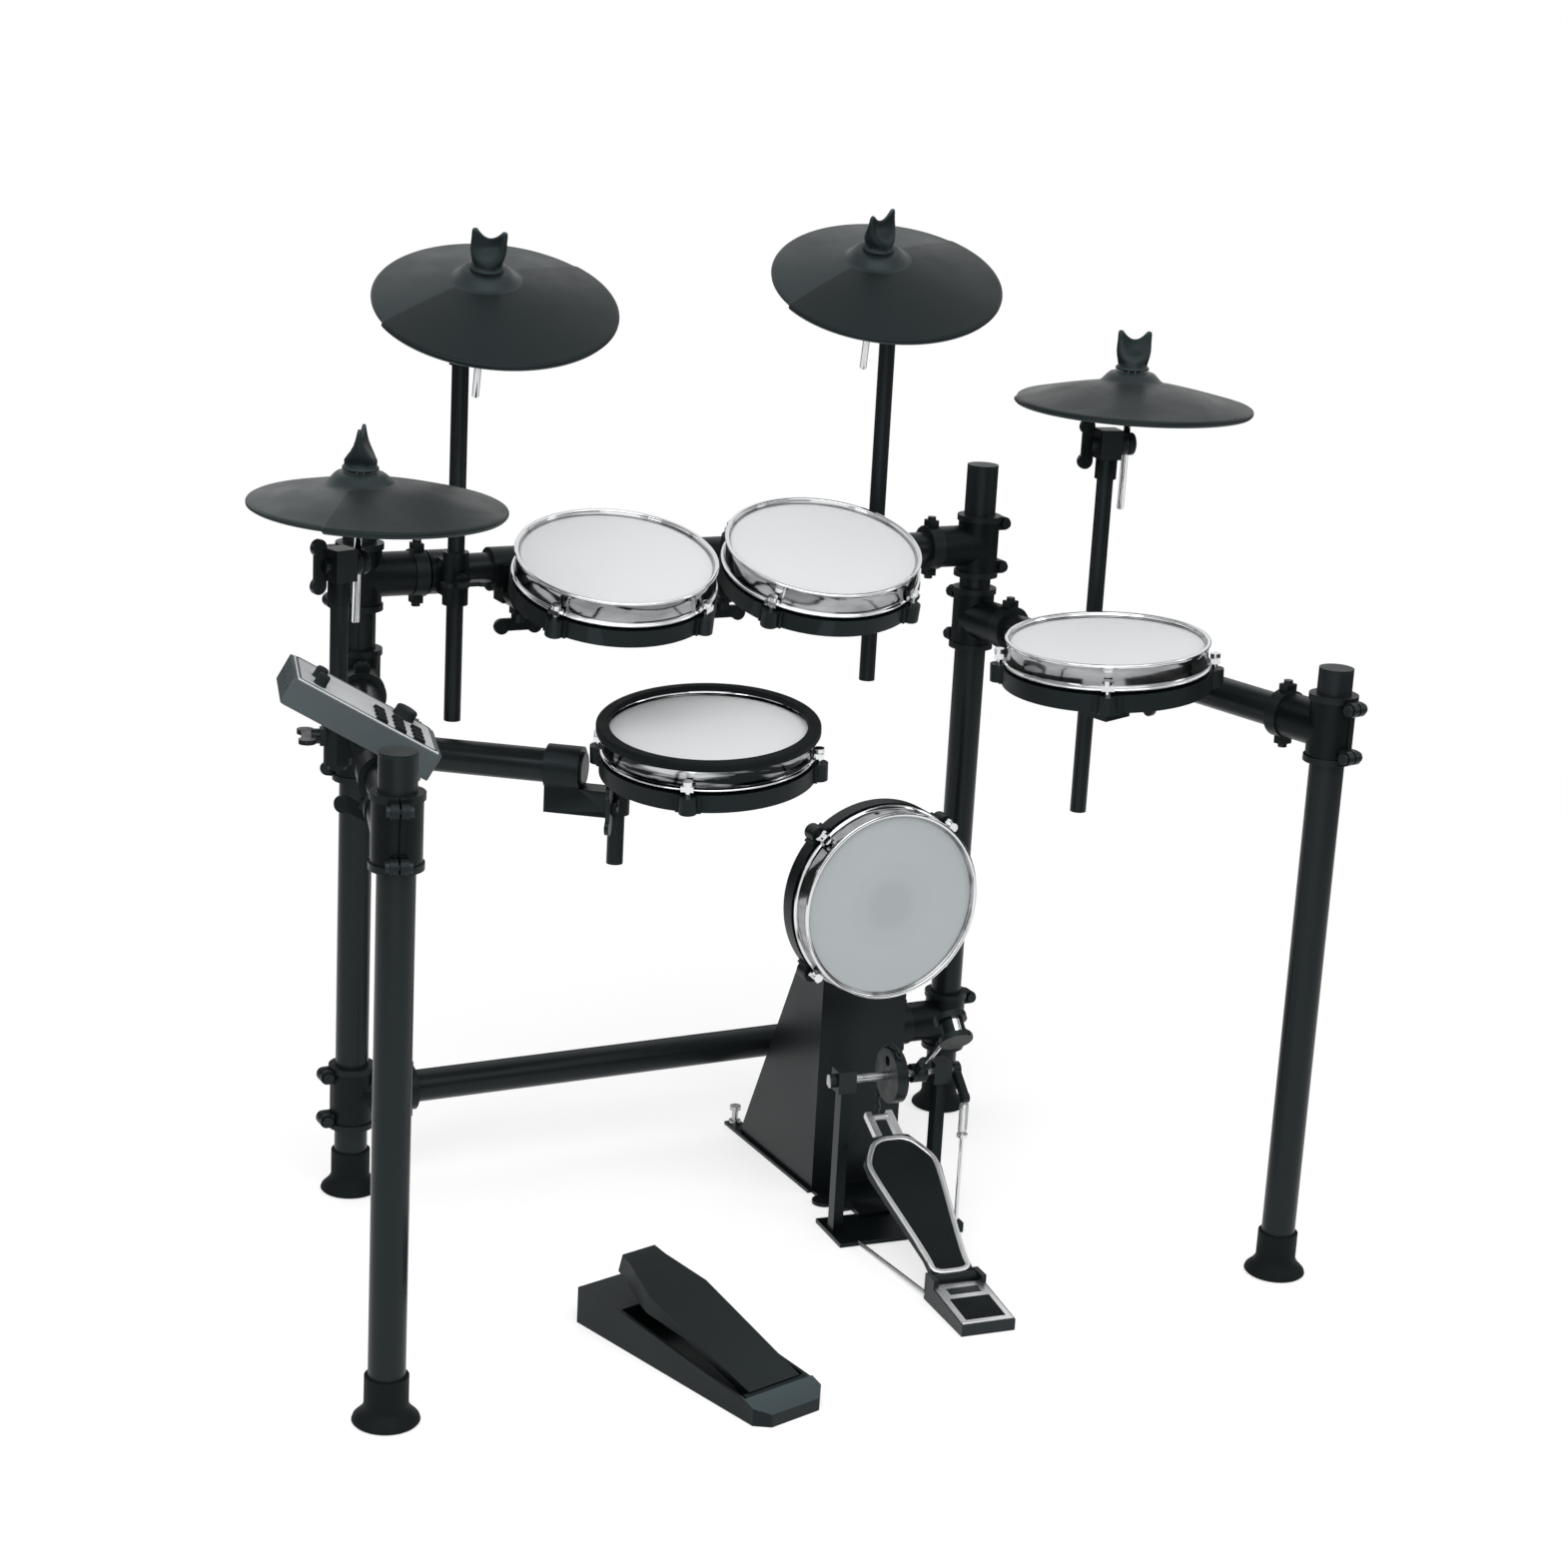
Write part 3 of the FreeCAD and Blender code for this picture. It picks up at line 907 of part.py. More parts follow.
control("module_dial", DIAL_AT, DIAL_R, DIAL_H)
for name, at in KNOBS.items():
    control(name, at, KNOB_R, KNOB_H)
keys = []
for i in range(KEY_ROWS):
    for j in range(KEY_COLS):
        kx0 = x1 - 32 - i * KEY_STEP[0]
        ky0 = y0 + 8 + j * KEY_STEP[1]
        keys.append(block(kx0, kx0 + KEY[0], ky0, ky0 + KEY[1], face, face + KEY[2]))
SOCKET_AT = []
for k in range(SOCKETS):
    at = V(x0, (k - (SOCKETS - 1) / 2) * SOCKET_STEP, (z0 + z1) / 2)
    case = case.cut(cyl(SOCKET_R, (x0 - 1, at.y, at.z), (1, 0, 0), SOCKET_DEPTH + 1))
    SOCKET_AT.append(MOD.multVec(at + V(SOCKET_DEPTH / 2, 0, 0)))
SOCKET_AXIS = MOD.Rotation.multVec(V(-1, 0, 0))
add("module_case", placed(case, MOD))
add("module_panel", placed(panel, MOD))
add("module_keypad", *[placed(k, MOD) for k in keys])
pw, pl_len, pt = BRACKET_PLATE
ring_r = TUBE_R + BODY_GAP
bracket = fuse(cyl(CLAMP_R + 1, (0, -BRACKET_W / 2, 0), (0, 1, 0), BRACKET_W),
               block(-pw / 2 + MOD_SIDE / 2, pw / 2 + MOD_SIDE / 2, -pl_len / 2, pl_len / 2, z0 - pt, z0),
               block(-14, 14, -BRACKET_W / 2, BRACKET_W / 2, 0, z0 - pt / 2),
               block(-9, 9, -9, 9, -CLAMP_R - 6, 0))
bracket = bracket.cut(cyl(ring_r, (0, -BRACKET_W, 0), (0, 1, 0), 2 * BRACKET_W))
bolt = placed(wing_screw(4.0), FreeCAD.Placement(V(0, 0, -CLAMP_R - 6), FreeCAD.Rotation(V(1, 0, 0), 180)))
bracket = bracket.cut(cyl(WING_SHANK_R + FIT, (0, 0, -CLAMP_R - 7), (0, 0, 1), 6.0))
add("module_bracket", placed(bracket, MOD))
add("module_bracket", placed(bolt, MOD))
MOD_PIVOT = arm_point
MOD_TILT_AXIS = arm_y

# The origin goes under the middle of the whole kit
box = Part.makeCompound([s for group in nodes.values() for s in group]).BoundBox
SHIFT = V(-(box.XMin + box.XMax) / 2, -(box.YMin + box.YMax) / 2, -box.ZMin)
for name, solids in nodes.items():
    moved = []
    for s in solids:
        c = s.copy()
        c.translate(SHIFT)
        moved.append(c)
    shape = moved[0] if len(moved) == 1 else Part.makeCompound(moved)
    shape.exportStep("parts/%s.step" % name)
    nodes[name] = moved
print(len(nodes), "nodes,", sum(len(s) for s in nodes.values()), "solids")
print("size", round(box.XLength, 1), round(box.YLength, 1), round(box.ZLength, 1), "shift", SHIFT)
bad = [n for n, g in nodes.items() for s in g if not s.isValid() or s.Volume <= 0]
print("invalid:", bad)
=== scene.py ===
# %% [markdown]
# # Dressing an electronic drum kit
# The solids come from CAD and are already in place, so this lesson adds what CAD leaves plain: soft
# edges, real finishes, woven heads and trim.

# %% Load the solids
import bpy
import bmesh
import json
import math
import numpy as np
from mathutils import Matrix, Vector


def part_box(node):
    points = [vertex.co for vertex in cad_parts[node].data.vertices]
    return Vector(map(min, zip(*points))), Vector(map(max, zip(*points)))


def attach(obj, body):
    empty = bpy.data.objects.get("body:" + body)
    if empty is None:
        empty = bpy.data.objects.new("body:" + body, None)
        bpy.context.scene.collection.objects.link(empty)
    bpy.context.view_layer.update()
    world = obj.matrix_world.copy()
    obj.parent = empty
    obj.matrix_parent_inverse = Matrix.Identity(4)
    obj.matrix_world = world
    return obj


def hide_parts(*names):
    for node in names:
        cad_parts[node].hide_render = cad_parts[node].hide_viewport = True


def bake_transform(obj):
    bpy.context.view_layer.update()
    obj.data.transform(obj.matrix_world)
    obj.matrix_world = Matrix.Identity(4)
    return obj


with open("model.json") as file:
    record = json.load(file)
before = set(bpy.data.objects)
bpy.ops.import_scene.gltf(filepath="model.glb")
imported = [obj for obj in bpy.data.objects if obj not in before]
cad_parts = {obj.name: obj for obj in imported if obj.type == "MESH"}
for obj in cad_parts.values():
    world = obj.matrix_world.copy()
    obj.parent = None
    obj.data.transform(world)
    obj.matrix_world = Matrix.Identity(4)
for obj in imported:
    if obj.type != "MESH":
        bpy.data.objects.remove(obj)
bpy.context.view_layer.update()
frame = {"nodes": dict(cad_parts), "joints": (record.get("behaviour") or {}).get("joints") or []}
nodes = frame["nodes"]
joints = {j["name"]: j for j in frame["joints"]}
MM = 0.001

# %% [markdown]
# ## Places to work from
# Every piece is drawn in a small frame of its own, with Z out of the head, cymbal or panel, and is
# then put where it belongs. Reading these frames from the joints and the solids, instead of typing
# them again, keeps each piece on what carries it even when the CAD changes.

# %% Local frames
def stand(at, x_axis, z_axis):
    z = Vector(z_axis).normalized()
    x = (Vector(x_axis) - z * Vector(x_axis).dot(z)).normalized()
    y = z.cross(x)
    return Matrix([(x[k], y[k], z[k], at[k]) for k in range(3)] + [(0, 0, 0, 1)])


def about_face(place):
    return place @ Matrix.Rotation(math.pi, 4, "Z")


def corners(node):
    co = np.zeros(len(nodes[node].data.vertices) * 3)
    nodes[node].data.vertices.foreach_get("co", co)
    return co.reshape(-1, 3)


print("points in the largest solid:", max(len(corners(node)) for node in nodes))

# %% [markdown]
# A pad is found from its head, a flat disc. The two long directions of the disc's points lie in the
# head, and the short one is its axis, so no angle has to be known. The kick pad faces the player, and
# the other heads face up.

# %% Pad places
PADS = ("snare", "tom_left", "tom_middle", "tom_right", "kick")
UP, TO_PLAYER = (0, 0, 1), (0, -1, 0)


def pad_body(pad):
    return "rack" if pad == "kick" else pad + "_pad"


def disc_place(node, facing):
    co = corners(node)
    spread = np.linalg.svd(co - co.mean(0), full_matrices=False)[2]
    normal = spread[2] * np.sign(spread[2] @ np.array(facing))
    mid = sum(a * ((co @ a).min() + (co @ a).max()) / 2 for a in spread[:2])
    return stand(mid + normal * (co @ normal).max(), (1, 0, 0), normal), np.ptp(co @ spread[0]) / 2


pad_place = {}
for pad in PADS:
    pad_place[pad], radius = disc_place(pad + "_head", TO_PLAYER if pad == "kick" else UP)
    print("%s head: radius %.1f mm" % (pad, radius / MM))

# %% [markdown]
# A cymbal has two joints. It rocks on a ball, and the ball sits on a rod that tilts in a clamp, so the
# line between the two gives the rod's direction. The plate hangs off centre, and the points that lie
# furthest from the rod tell which way its playing zone looks.

# %% Cymbal places
CYMBALS = ("hihat", "crash_left", "crash_right", "ride")
ZONE_RIM = 148 * MM
cymbal_place, cymbal_rise, zone_angle = {}, {}, {}
for cymbal in CYMBALS:
    tilt, rock = joints[cymbal + "_tilt"], joints[cymbal + "_rock"]
    side = Vector(tilt["axis"]).normalized()
    step = Vector(rock["pos_m"]) - Vector(tilt["pos_m"])
    up = step - side * step.dot(side)
    cymbal_place[cymbal] = stand(rock["pos_m"], side * (1 if step.dot(side) > 0 else -1), up)
    cymbal_rise[cymbal] = up.length
    local = [cymbal_place[cymbal].inverted() @ Vector(p) for p in corners(cymbal + "_cymbal")]
    far = sum((p.xy for p in local if p.xy.length > ZONE_RIM), Vector((0, 0)))
    zone_angle[cymbal] = math.degrees(math.atan2(far.y, far.x))
    print("%s: spindle %.0f mm, zone at %.0f degrees" % (cymbal, up.length / MM, zone_angle[cymbal]))

# %% [markdown]
# The pedals are drawn with Y from heel to toe, and the module with X down its panel. A joint's axis may
# point either way along its pin, so each frame is checked against a point whose side is known, and
# turned about where it came out backwards.

# %% Pedal and module places
AXLE_Z = 190.0
HAT_BOARD_REACH = 100
swing, press = joints["kick_beater_swing"], joints["hihat_board_press"]
pedal_place = stand(Vector(swing["pos_m"]) - Vector((0, 0, AXLE_Z * MM)), -Vector(swing["axis"]), UP)
if (pedal_place.inverted() @ Vector(joints["kick_board_press"]["pos_m"])).y > 0:
    pedal_place = about_face(pedal_place)
hat_place = stand(press["pos_m"], -Vector(press["axis"]), UP)
if (hat_place.inverted() @ Vector(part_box("hihat_pedal_board")[1])).y < HAT_BOARD_REACH * MM:
    hat_place = about_face(hat_place)
arm, out = Vector(joints["module_tilt"]["axis"]), Vector(joints["module_dial_turn"]["axis"])
module_place = stand(joints["module_tilt"]["pos_m"], arm.cross(out), out)
level = [(module_place.inverted() @ Vector(p)).x for p in corners("module_panel")]
if min(level) + max(level) > 0:
    module_place = about_face(module_place)
print("kick pedal at", pedal_place.translation, "hi-hat pedal at", hat_place.translation)

# %% [markdown]
# ## Building blocks of a finish
# A finish is a node tree around one Principled shader. Most of them need the same few steps: a noise
# in the object's own coordinates, a remap to a useful range, a blend of two colours and a bump. The
# helpers below do those steps, so that each finish further down reads as a short recipe.

# %% Finish helpers
def finish(name, colour, rough, metal=0.0, specular=0.5, cast=(1, 1, 1)):
    made = bpy.data.materials.new(name)
    made.use_nodes = True
    skin = made.node_tree.nodes["Principled BSDF"]
    skin.inputs["Base Color"].default_value = (*colour, 1)
    skin.inputs["Roughness"].default_value = rough
    skin.inputs["Metallic"].default_value = metal
    skin.inputs["Specular IOR Level"].default_value = specular
    skin.inputs["Specular Tint"].default_value = (*cast, 1)
    return made, made.node_tree, skin


def grain(tree, scale, detail=2.0, stretch=(1, 1, 1)):
    where = tree.nodes.new("ShaderNodeTexCoord")
    shape = tree.nodes.new("ShaderNodeMapping")
    shape.inputs["Scale"].default_value = stretch
    noise = tree.nodes.new("ShaderNodeTexNoise")
    noise.inputs["Scale"].default_value = scale
    noise.inputs["Detail"].default_value = detail
    tree.links.new(where.outputs["Object"], shape.inputs["Vector"])
    tree.links.new(shape.outputs["Vector"], noise.inputs["Vector"])
    return noise.outputs["Fac"]


def remap(tree, value, low, high, start=0.3, stop=0.7):
    node = tree.nodes.new("ShaderNodeMapRange")
    node.inputs["From Min"].default_value = start
    node.inputs["From Max"].default_value = stop
    node.inputs["To Min"].default_value = low
    node.inputs["To Max"].default_value = high
    tree.links.new(value, node.inputs["Value"])
    return node.outputs["Result"]


def blend_colours(tree, value, first, second):
    node = tree.nodes.new("ShaderNodeMix")
    node.data_type = "RGBA"
    tree.links.new(value, node.inputs["Factor"])
    for socket, colour in ((node.inputs[6], first), (node.inputs[7], second)):
        if isinstance(colour, tuple):
            socket.default_value = (*colour, 1)
        else:
            tree.links.new(colour, socket)
    return node.outputs[2]


print("finishes before dressing:", len(bpy.data.materials))

# %% [markdown]
# Bump, worn edges and distances come up nearly as often. Pointiness is high where a surface turns
# sharply, which is where hands and cases rub the coating paler. The distance of a point from the
# middle of its own flat drawing is what rings and round spots are made from.

# %% Relief and wear
def bump(tree, skin, height, depth):
    node = tree.nodes.new("ShaderNodeBump")
    node.inputs["Strength"].default_value = 1.0
    node.inputs["Distance"].default_value = depth
    tree.links.new(height, node.inputs["Height"])
    tree.links.new(node.outputs["Normal"], skin.inputs["Normal"])


def edges(tree, start=0.51, stop=0.58):
    shape = tree.nodes.new("ShaderNodeNewGeometry")
    return remap(tree, shape.outputs["Pointiness"], 0.0, 1.0, start, stop)


def distance(tree, vector):
    far = tree.nodes.new("ShaderNodeVectorMath")
    far.operation = "LENGTH"
    tree.links.new(vector, far.inputs[0])
    return far.outputs["Value"]


def larger(tree, first, second):
    node = tree.nodes.new("ShaderNodeMath")
    node.operation = "MAXIMUM"
    tree.links.new(first, node.inputs[0])
    tree.links.new(second, node.inputs[1])
    return node.outputs["Value"]


def wave_scale(pitch):
    return 2 * math.pi / (20 * pitch * MM)


def feed(tree, skin, **sockets):
    for name, value in sockets.items():
        tree.links.new(value, skin.inputs[name.replace("_", " ")])


print("a wave of 1 mm has the scale %.1f" % wave_scale(1.0))

# %% [markdown]
# ## Black finishes
# Nearly everything is black, so the pieces part from each other by gloss and grain. Powder coat on
# steel has a faint orange peel, moulded nylon has a fine spark-eroded grain, and rubber is dull with
# a dusty bloom. Each gets its own noise scale and roughness, and the hard ones are rubbed paler at
# their edges.

# %% Black finishes
COOL = (0.78, 0.96, 1.0)


def powder_coat():
    made, tree, skin = finish("black_powder_coat", (0.002, 0.0034, 0.004), 0.3, specular=0.2, cast=COOL)
    cloud = grain(tree, 7, 3)
    base = blend_colours(tree, cloud, (0.0014, 0.0026, 0.0030), (0.0028, 0.0044, 0.0050))
    worn = blend_colours(tree, edges(tree), base, (0.02, 0.023, 0.025))
    feed(tree, skin, Base_Color=worn, Roughness=remap(tree, cloud, 0.24, 0.36))
    bump(tree, skin, grain(tree, 900, 1), 0.00005)
    return made


def moulded_nylon(name, low, high, rough):
    made, tree, skin = finish(name, low, rough, specular=0.16, cast=COOL)
    cloud = grain(tree, 16, 3)
    base = blend_colours(tree, cloud, low, high)
    worn = blend_colours(tree, edges(tree), base, tuple(3 * c + 0.008 for c in high))
    feed(tree, skin, Base_Color=worn, Roughness=remap(tree, cloud, rough - 0.06, rough + 0.06))
    bump(tree, skin, grain(tree, 1600, 2), 0.0001)
    return made


def soft_rubber():
    made, tree, skin = finish("black_rubber", (0.004, 0.0052, 0.0056), 0.58, specular=0.14, cast=COOL)
    dust = grain(tree, 30, 4)
    base = blend_colours(tree, dust, (0.0022, 0.0034, 0.0038), (0.0050, 0.0066, 0.0072))
    feed(tree, skin, Base_Color=base, Roughness=remap(tree, dust, 0.58, 0.76))
    skin.inputs["Sheen Weight"].default_value = 0.02
    bump(tree, skin, grain(tree, 1200, 2), 0.0001)
    return made


def black_zinc():
    made, tree, skin = finish("black_zinc_screws", (0.004, 0.0055, 0.006), 0.3, specular=0.25, cast=COOL)
    cloud = grain(tree, 60, 2)
    worn = blend_colours(tree, edges(tree), (0.0026, 0.0040, 0.0045), (0.022, 0.027, 0.029))
    feed(tree, skin, Base_Color=worn, Roughness=remap(tree, cloud, 0.22, 0.38))
    bump(tree, skin, grain(tree, 1500, 1), 0.00004)
    return made


tube_coat = powder_coat()
nylon = moulded_nylon("moulded_black_nylon", (0.0016, 0.0028, 0.0032), (0.0034, 0.0050, 0.0056), 0.36)
heel_grey = moulded_nylon("dark_grey_nylon", (0.014, 0.021, 0.023), (0.022, 0.030, 0.033), 0.42)
topper_black = moulded_nylon("soft_topper_rubber", (0.006, 0.0095, 0.0108), (0.010, 0.0145, 0.016), 0.34)
rubber = soft_rubber()
screw_black = black_zinc()
print("black finishes:", [m.name for m in (tube_coat, nylon, heel_grey, topper_black, rubber, screw_black)])

# %% [markdown]
# ## Bright and pale finishes
# Hoops, tension rods and spindles are chrome plated. A chrome looks right when it is a clean mirror
# with slightly hazy patches, because the room does the rest. Zinc steel and the brushed edge of the
# pedal are rougher, and the brushing is a noise stretched along one axis. The hoops' walls get a dark
# chrome whose colour and streaks round the drum paint the reflection of the dark tubes and clamps
# round them.

# %% Bright finishes
def bright_metal(name, low, high, rough, scale, stretch=(1, 1, 1), cut=(0.0, 1.0)):
    made, tree, skin = finish(name, low, rough[0], metal=1.0)
    # On the hoop walls this noise paints dark and bright streaks of reflection into the colour; on the
    # other metals it is plating haze.
    haze_and_painted_streaks = grain(tree, scale, 4, stretch=stretch)
    tone = blend_colours(tree, remap(tree, haze_and_painted_streaks, 0.0, 1.0, *cut), low, high)
    feed(tree, skin, Base_Color=tone, Roughness=remap(tree, haze_and_painted_streaks, *rough))
    bump(tree, skin, grain(tree, scale * 6, 1, stretch=stretch), 0.00002)
    return made


chrome = bright_metal("chrome_plate", (0.62, 0.635, 0.65), (0.76, 0.77, 0.78), (0.05, 0.14), 35)
# The two wall chromes are painted reflection: their dark colour and streaks stand in for the dark tubes and
# clamps mirrored in the walls.
painted_reflection_wall = bright_metal("chrome_wall_painted_dark_reflection", (0.05, 0.055, 0.058), (0.52, 0.53, 0.54), (0.06, 0.16),
                         22, (1, 1, 3))
snare_painted_reflection_wall = bright_metal("chrome_wall_painted_streaked_reflection", (0.012, 0.015, 0.016), (0.5, 0.51, 0.52), (0.06, 0.14),
                          12, (1, 1, 10), (0.48, 0.66))
steel = bright_metal("zinc_steel", (0.36, 0.365, 0.37), (0.58, 0.585, 0.59), (0.2, 0.36), 90)
alloy = bright_metal("brushed_alloy", (0.68, 0.69, 0.70), (0.84, 0.85, 0.86), (0.26, 0.4), 260, (8, 0.4, 8))
print("bright finishes:", [m.name for m in (chrome, painted_reflection_wall, snare_painted_reflection_wall, steel, alloy)])

# %% [markdown]
# The module is two plastics, a grey case and a pale panel. Both are moulded with a fine grain that
# breaks up the highlight, and their tone drifts a little, as painted plastic does after some use.

# %% Module plastics
def pale_plastic(name, low, high, rough):
    made, tree, skin = finish(name, low, rough, specular=0.35)
    cloud = grain(tree, 20, 3)
    base = blend_colours(tree, cloud, low, high)
    worn = blend_colours(tree, edges(tree, 0.52, 0.62), base, tuple(1.8 * c for c in high))
    feed(tree, skin, Base_Color=worn, Roughness=remap(tree, cloud, rough - 0.06, rough + 0.07))
    bump(tree, skin, grain(tree, 1400, 2), 0.00008)
    return made


case_grey = pale_plastic("grey_module_case", (0.040, 0.053, 0.058), (0.060, 0.075, 0.081), 0.42)
panel_pale = pale_plastic("pale_module_panel", (0.49, 0.505, 0.52), (0.56, 0.57, 0.58), 0.4)
print("finishes so far:", len(bpy.data.materials))

# %% [markdown]
# ## Finishes and soft edges on the solids
# A solid from CAD has knife edges, and real edges always catch a line of light. The mesh itself must
# stay as it is, so three modifiers do the work: Weld closes the seams of the import, Bevel rounds
# the corners, and Weighted Normal keeps the flat faces flat in the shading.

# %% Dress the solids
SEAM = 0.01
SHARP = math.radians(38)


def dress(node, coat, edge):
    shape = nodes[node]
    shape.data.materials.clear()
    shape.data.materials.append(coat)
    weld = shape.modifiers.new("close seams", "WELD")
    weld.merge_threshold = SEAM * MM
    rounding = shape.modifiers.new("soft edges", "BEVEL")
    rounding.width = edge * MM
    rounding.segments = 2
    rounding.limit_method = "ANGLE"
    rounding.angle_limit = SHARP
    rounding.use_clamp_overlap = True
    rounding.miter_outer = "MITER_ARC"
    even = shape.modifiers.new("even shading", "WEIGHTED_NORMAL")
    even.keep_sharp = False


COATS = (
    (tube_coat, 0.5, ("rack_posts", "cross_bars", "rack_arms", "cymbal_stands", "pad_rods", "kick_tower",
                      "pedal_frame")),
    (nylon, 1.0, ("post_caps", "tee_clamps", "tube_clamps", "module_bracket")),
    (nylon, 1.0, [pad + "_shell" for pad in PADS]),
    (nylon, 0.8, ("pedal_footboard", "pedal_beater")),
    (nylon, 2.2, ("hihat_pedal_board",)),
    (nylon, 1.6, ("hihat_pedal_base",)),
    (rubber, 0.8, ("rubber_feet", "snare_rim")),
    (chrome, 0.5, [pad + "_tension_rods" for pad in PADS]),
    (steel, 0.3, [pad + "_trigger" for pad in PADS]),
    (screw_black, 0.6, ("clamp_screws",)),
    (screw_black, 0.5, ("pedal_axle",)),
    (case_grey, 4.0, ("module_case",)),
    (panel_pale, 0.4, ("module_panel",)),
)
for coat, edge, group in COATS:
    for node in group:
        dress(node, coat, edge)
print("solids dressed:", sum(len(group) for coat, edge, group in COATS))

# %% [markdown]
# Some solids are made of two finishes: the pedal's frame is a black casting with bright rods, and
# the beater has a chromed shaft. Painting faces by hand would be lost with the next import, so each
# face is sorted by where its middle lies in the piece's own frame, in millimetres.

# %% Second finishes
HEEL_END, FACES_UP = 1, 0.5
RODS_BACK, RODS_FRONT, RODS_TOP = -186, -42, 12
SPRING_SIDE, SPRING_BACK, SPRING_FOOT = 72, -18, 12.5
BEATER_LEAN, BEATER_X = math.radians(45), 32
AXLE_SKIN, SHAFT_SKIN = 5.2, 4.6
SPURS_FROM, SKIDS_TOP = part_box("kick_tower")[1][1] / MM - 30, 4.3


def second_coat(node, coat, place, chosen):
    shape = nodes[node].data
    shape.materials.append(coat)
    inward = place.inverted()
    count = 0
    for face in shape.polygons:
        x, y, z = (inward @ face.center) / MM
        if chosen(x, y, z, face.normal.z):
            face.material_index = len(shape.materials) - 1
            count += 1
    print("%s: %d faces in %s" % (node, count, coat.name))


def heel_top(x, y, z, up):
    return y < HEEL_END and up > FACES_UP


def radius_rods(x, y, z, up):
    return RODS_BACK < y < RODS_FRONT and z < RODS_TOP


def spring_rod(x, y, z, up):
    return x > SPRING_SIDE and y < SPRING_BACK and z > SPRING_FOOT


def axle_rod(x, y, z, up):
    return math.hypot(y, z - AXLE_Z) < AXLE_SKIN


def beater_shaft(x, y, z, up):
    off = y * math.cos(BEATER_LEAN) + (z - AXLE_Z) * math.sin(BEATER_LEAN)
    return math.hypot(x - BEATER_X, off) < SHAFT_SKIN


def spur_screws(x, y, z, up):
    return y > SPURS_FROM and z > SKIDS_TOP


second_coat("hihat_pedal_base", heel_grey, hat_place, heel_top)
second_coat("pedal_frame", steel, pedal_place, radius_rods)
second_coat("pedal_frame", chrome, pedal_place, spring_rod)
second_coat("pedal_axle", steel, pedal_place, axle_rod)
second_coat("pedal_beater", chrome, pedal_place, beater_shaft)
second_coat("kick_tower", steel, Matrix.Identity(4), spur_screws)

# %% [markdown]
# ## Laying out meshes
# New pieces are made from rings of points, the way a lathe or a loft makes them. One helper joins
# rings into faces, one turns a profile round an axis, and one makes the result an object with its
# finishes that rides on its CAD body.

# %% Rings and pieces
SAME_POINT = 0.002


def ring_faces(rings, steps, closed=False):
    made = []
    for k in range(rings if closed else rings - 1):
        a, b = k * steps, ((k + 1) % rings) * steps
        for i in range(steps):
            j = (i + 1) % steps
            made.append((a + i, a + j, b + j, b + i))
    return made


def turned(profile, steps):
    turn = [2 * math.pi * i / steps for i in range(steps)]
    points = [(r * MM * math.cos(a), r * MM * math.sin(a), z * MM) for r, z in profile for a in turn]
    return points, ring_faces(len(profile), steps, closed=True)


def joined(meshes):
    points, faces = [], []
    for more, sides in meshes:
        faces += [tuple(v + len(points) for v in f) for f in sides]
        points += more
    return points, faces


def piece(name, points, faces, place, coats, body, slot, solid=True):
    mesh = bpy.data.meshes.new(name)
    mesh.from_pydata([place @ Vector(p) for p in points], [], faces)
    if solid:
        work = bmesh.new()
        work.from_mesh(mesh)
        bmesh.ops.remove_doubles(work, verts=work.verts, dist=SAME_POINT * MM)
        bmesh.ops.recalc_face_normals(work, faces=work.faces)
        work.to_mesh(mesh)
        work.free()
    for coat in coats:
        mesh.materials.append(coat)
    mesh.shade_smooth()
    made = bpy.data.objects.new(name, mesh)
    bpy.context.scene.collection.objects.link(made)
    if body:
        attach(made, body)
    return made


print("faces of a washer with 96 steps:", len(turned([(1, 0), (2, 0), (2, 1), (1, 1)], 96)[1]))

# %% [markdown]
# Borders and wires follow a path. A border is a strip with a rounded top that is carried round a
# closed outline, whose corners are cut twice to make them soft. A wire is a small polygon carried
# along a line of points, and a box with rounded edges is the third shape that comes back often.

# %% Strips, wires and boxes
STRIP = ((-1, -0.4), (-1, 0.3), (-0.85, 0.75), (-0.5, 1), (0.5, 1), (0.85, 0.75), (1, 0.3), (1, -0.4))
CORNER_CUT = 0.2
SLANT = Vector((0.3, 0.9, 0.2))


def smooth_loop(path, rounds=2):
    keep = 1 - CORNER_CUT
    for _ in range(rounds):
        out = []
        for a, b in zip(path, path[1:] + path[:1]):
            out.append([keep * p + CORNER_CUT * q for p, q in zip(a, b)])
            out.append([CORNER_CUT * p + keep * q for p, q in zip(a, b)])
        path = out
    return path


def trim_loop(outline, width, height):
    path = smooth_loop([list(p) for p in outline])
    points = []
    for k, (x, y, z) in enumerate(path):
        (ax, ay, _), (bx, by, _) = path[k - 1], path[(k + 1) % len(path)]
        size = math.hypot(bx - ax, by - ay)
        nx, ny = (by - ay) / size * width / 2, (ax - bx) / size * width / 2
        points += [((x + nx * s) * MM, (y + ny * s) * MM, (z + h * height) * MM) for s, h in STRIP]
    return points, ring_faces(len(path), len(STRIP), closed=True)


def sweep(path, radius, sides, closed=False):
    points = []
    last = len(path) - 1
    for k, at in enumerate(path):
        before = path[k - 1] if closed or k > 0 else at
        after = path[(k + 1) % len(path)] if closed or k < last else at
        along = (Vector(after) - Vector(before)).normalized()
        across = along.cross(SLANT).normalized()
        level = along.cross(across)
        for i in range(sides):
            a = 2 * math.pi * i / sides
            points.append((Vector(at) + (across * math.cos(a) + level * math.sin(a)) * radius) * MM)
    faces = ring_faces(len(path), sides, closed)
    if not closed:
        faces += [tuple(range(sides)), tuple(range(len(points) - sides, len(points)))]
    return points, faces


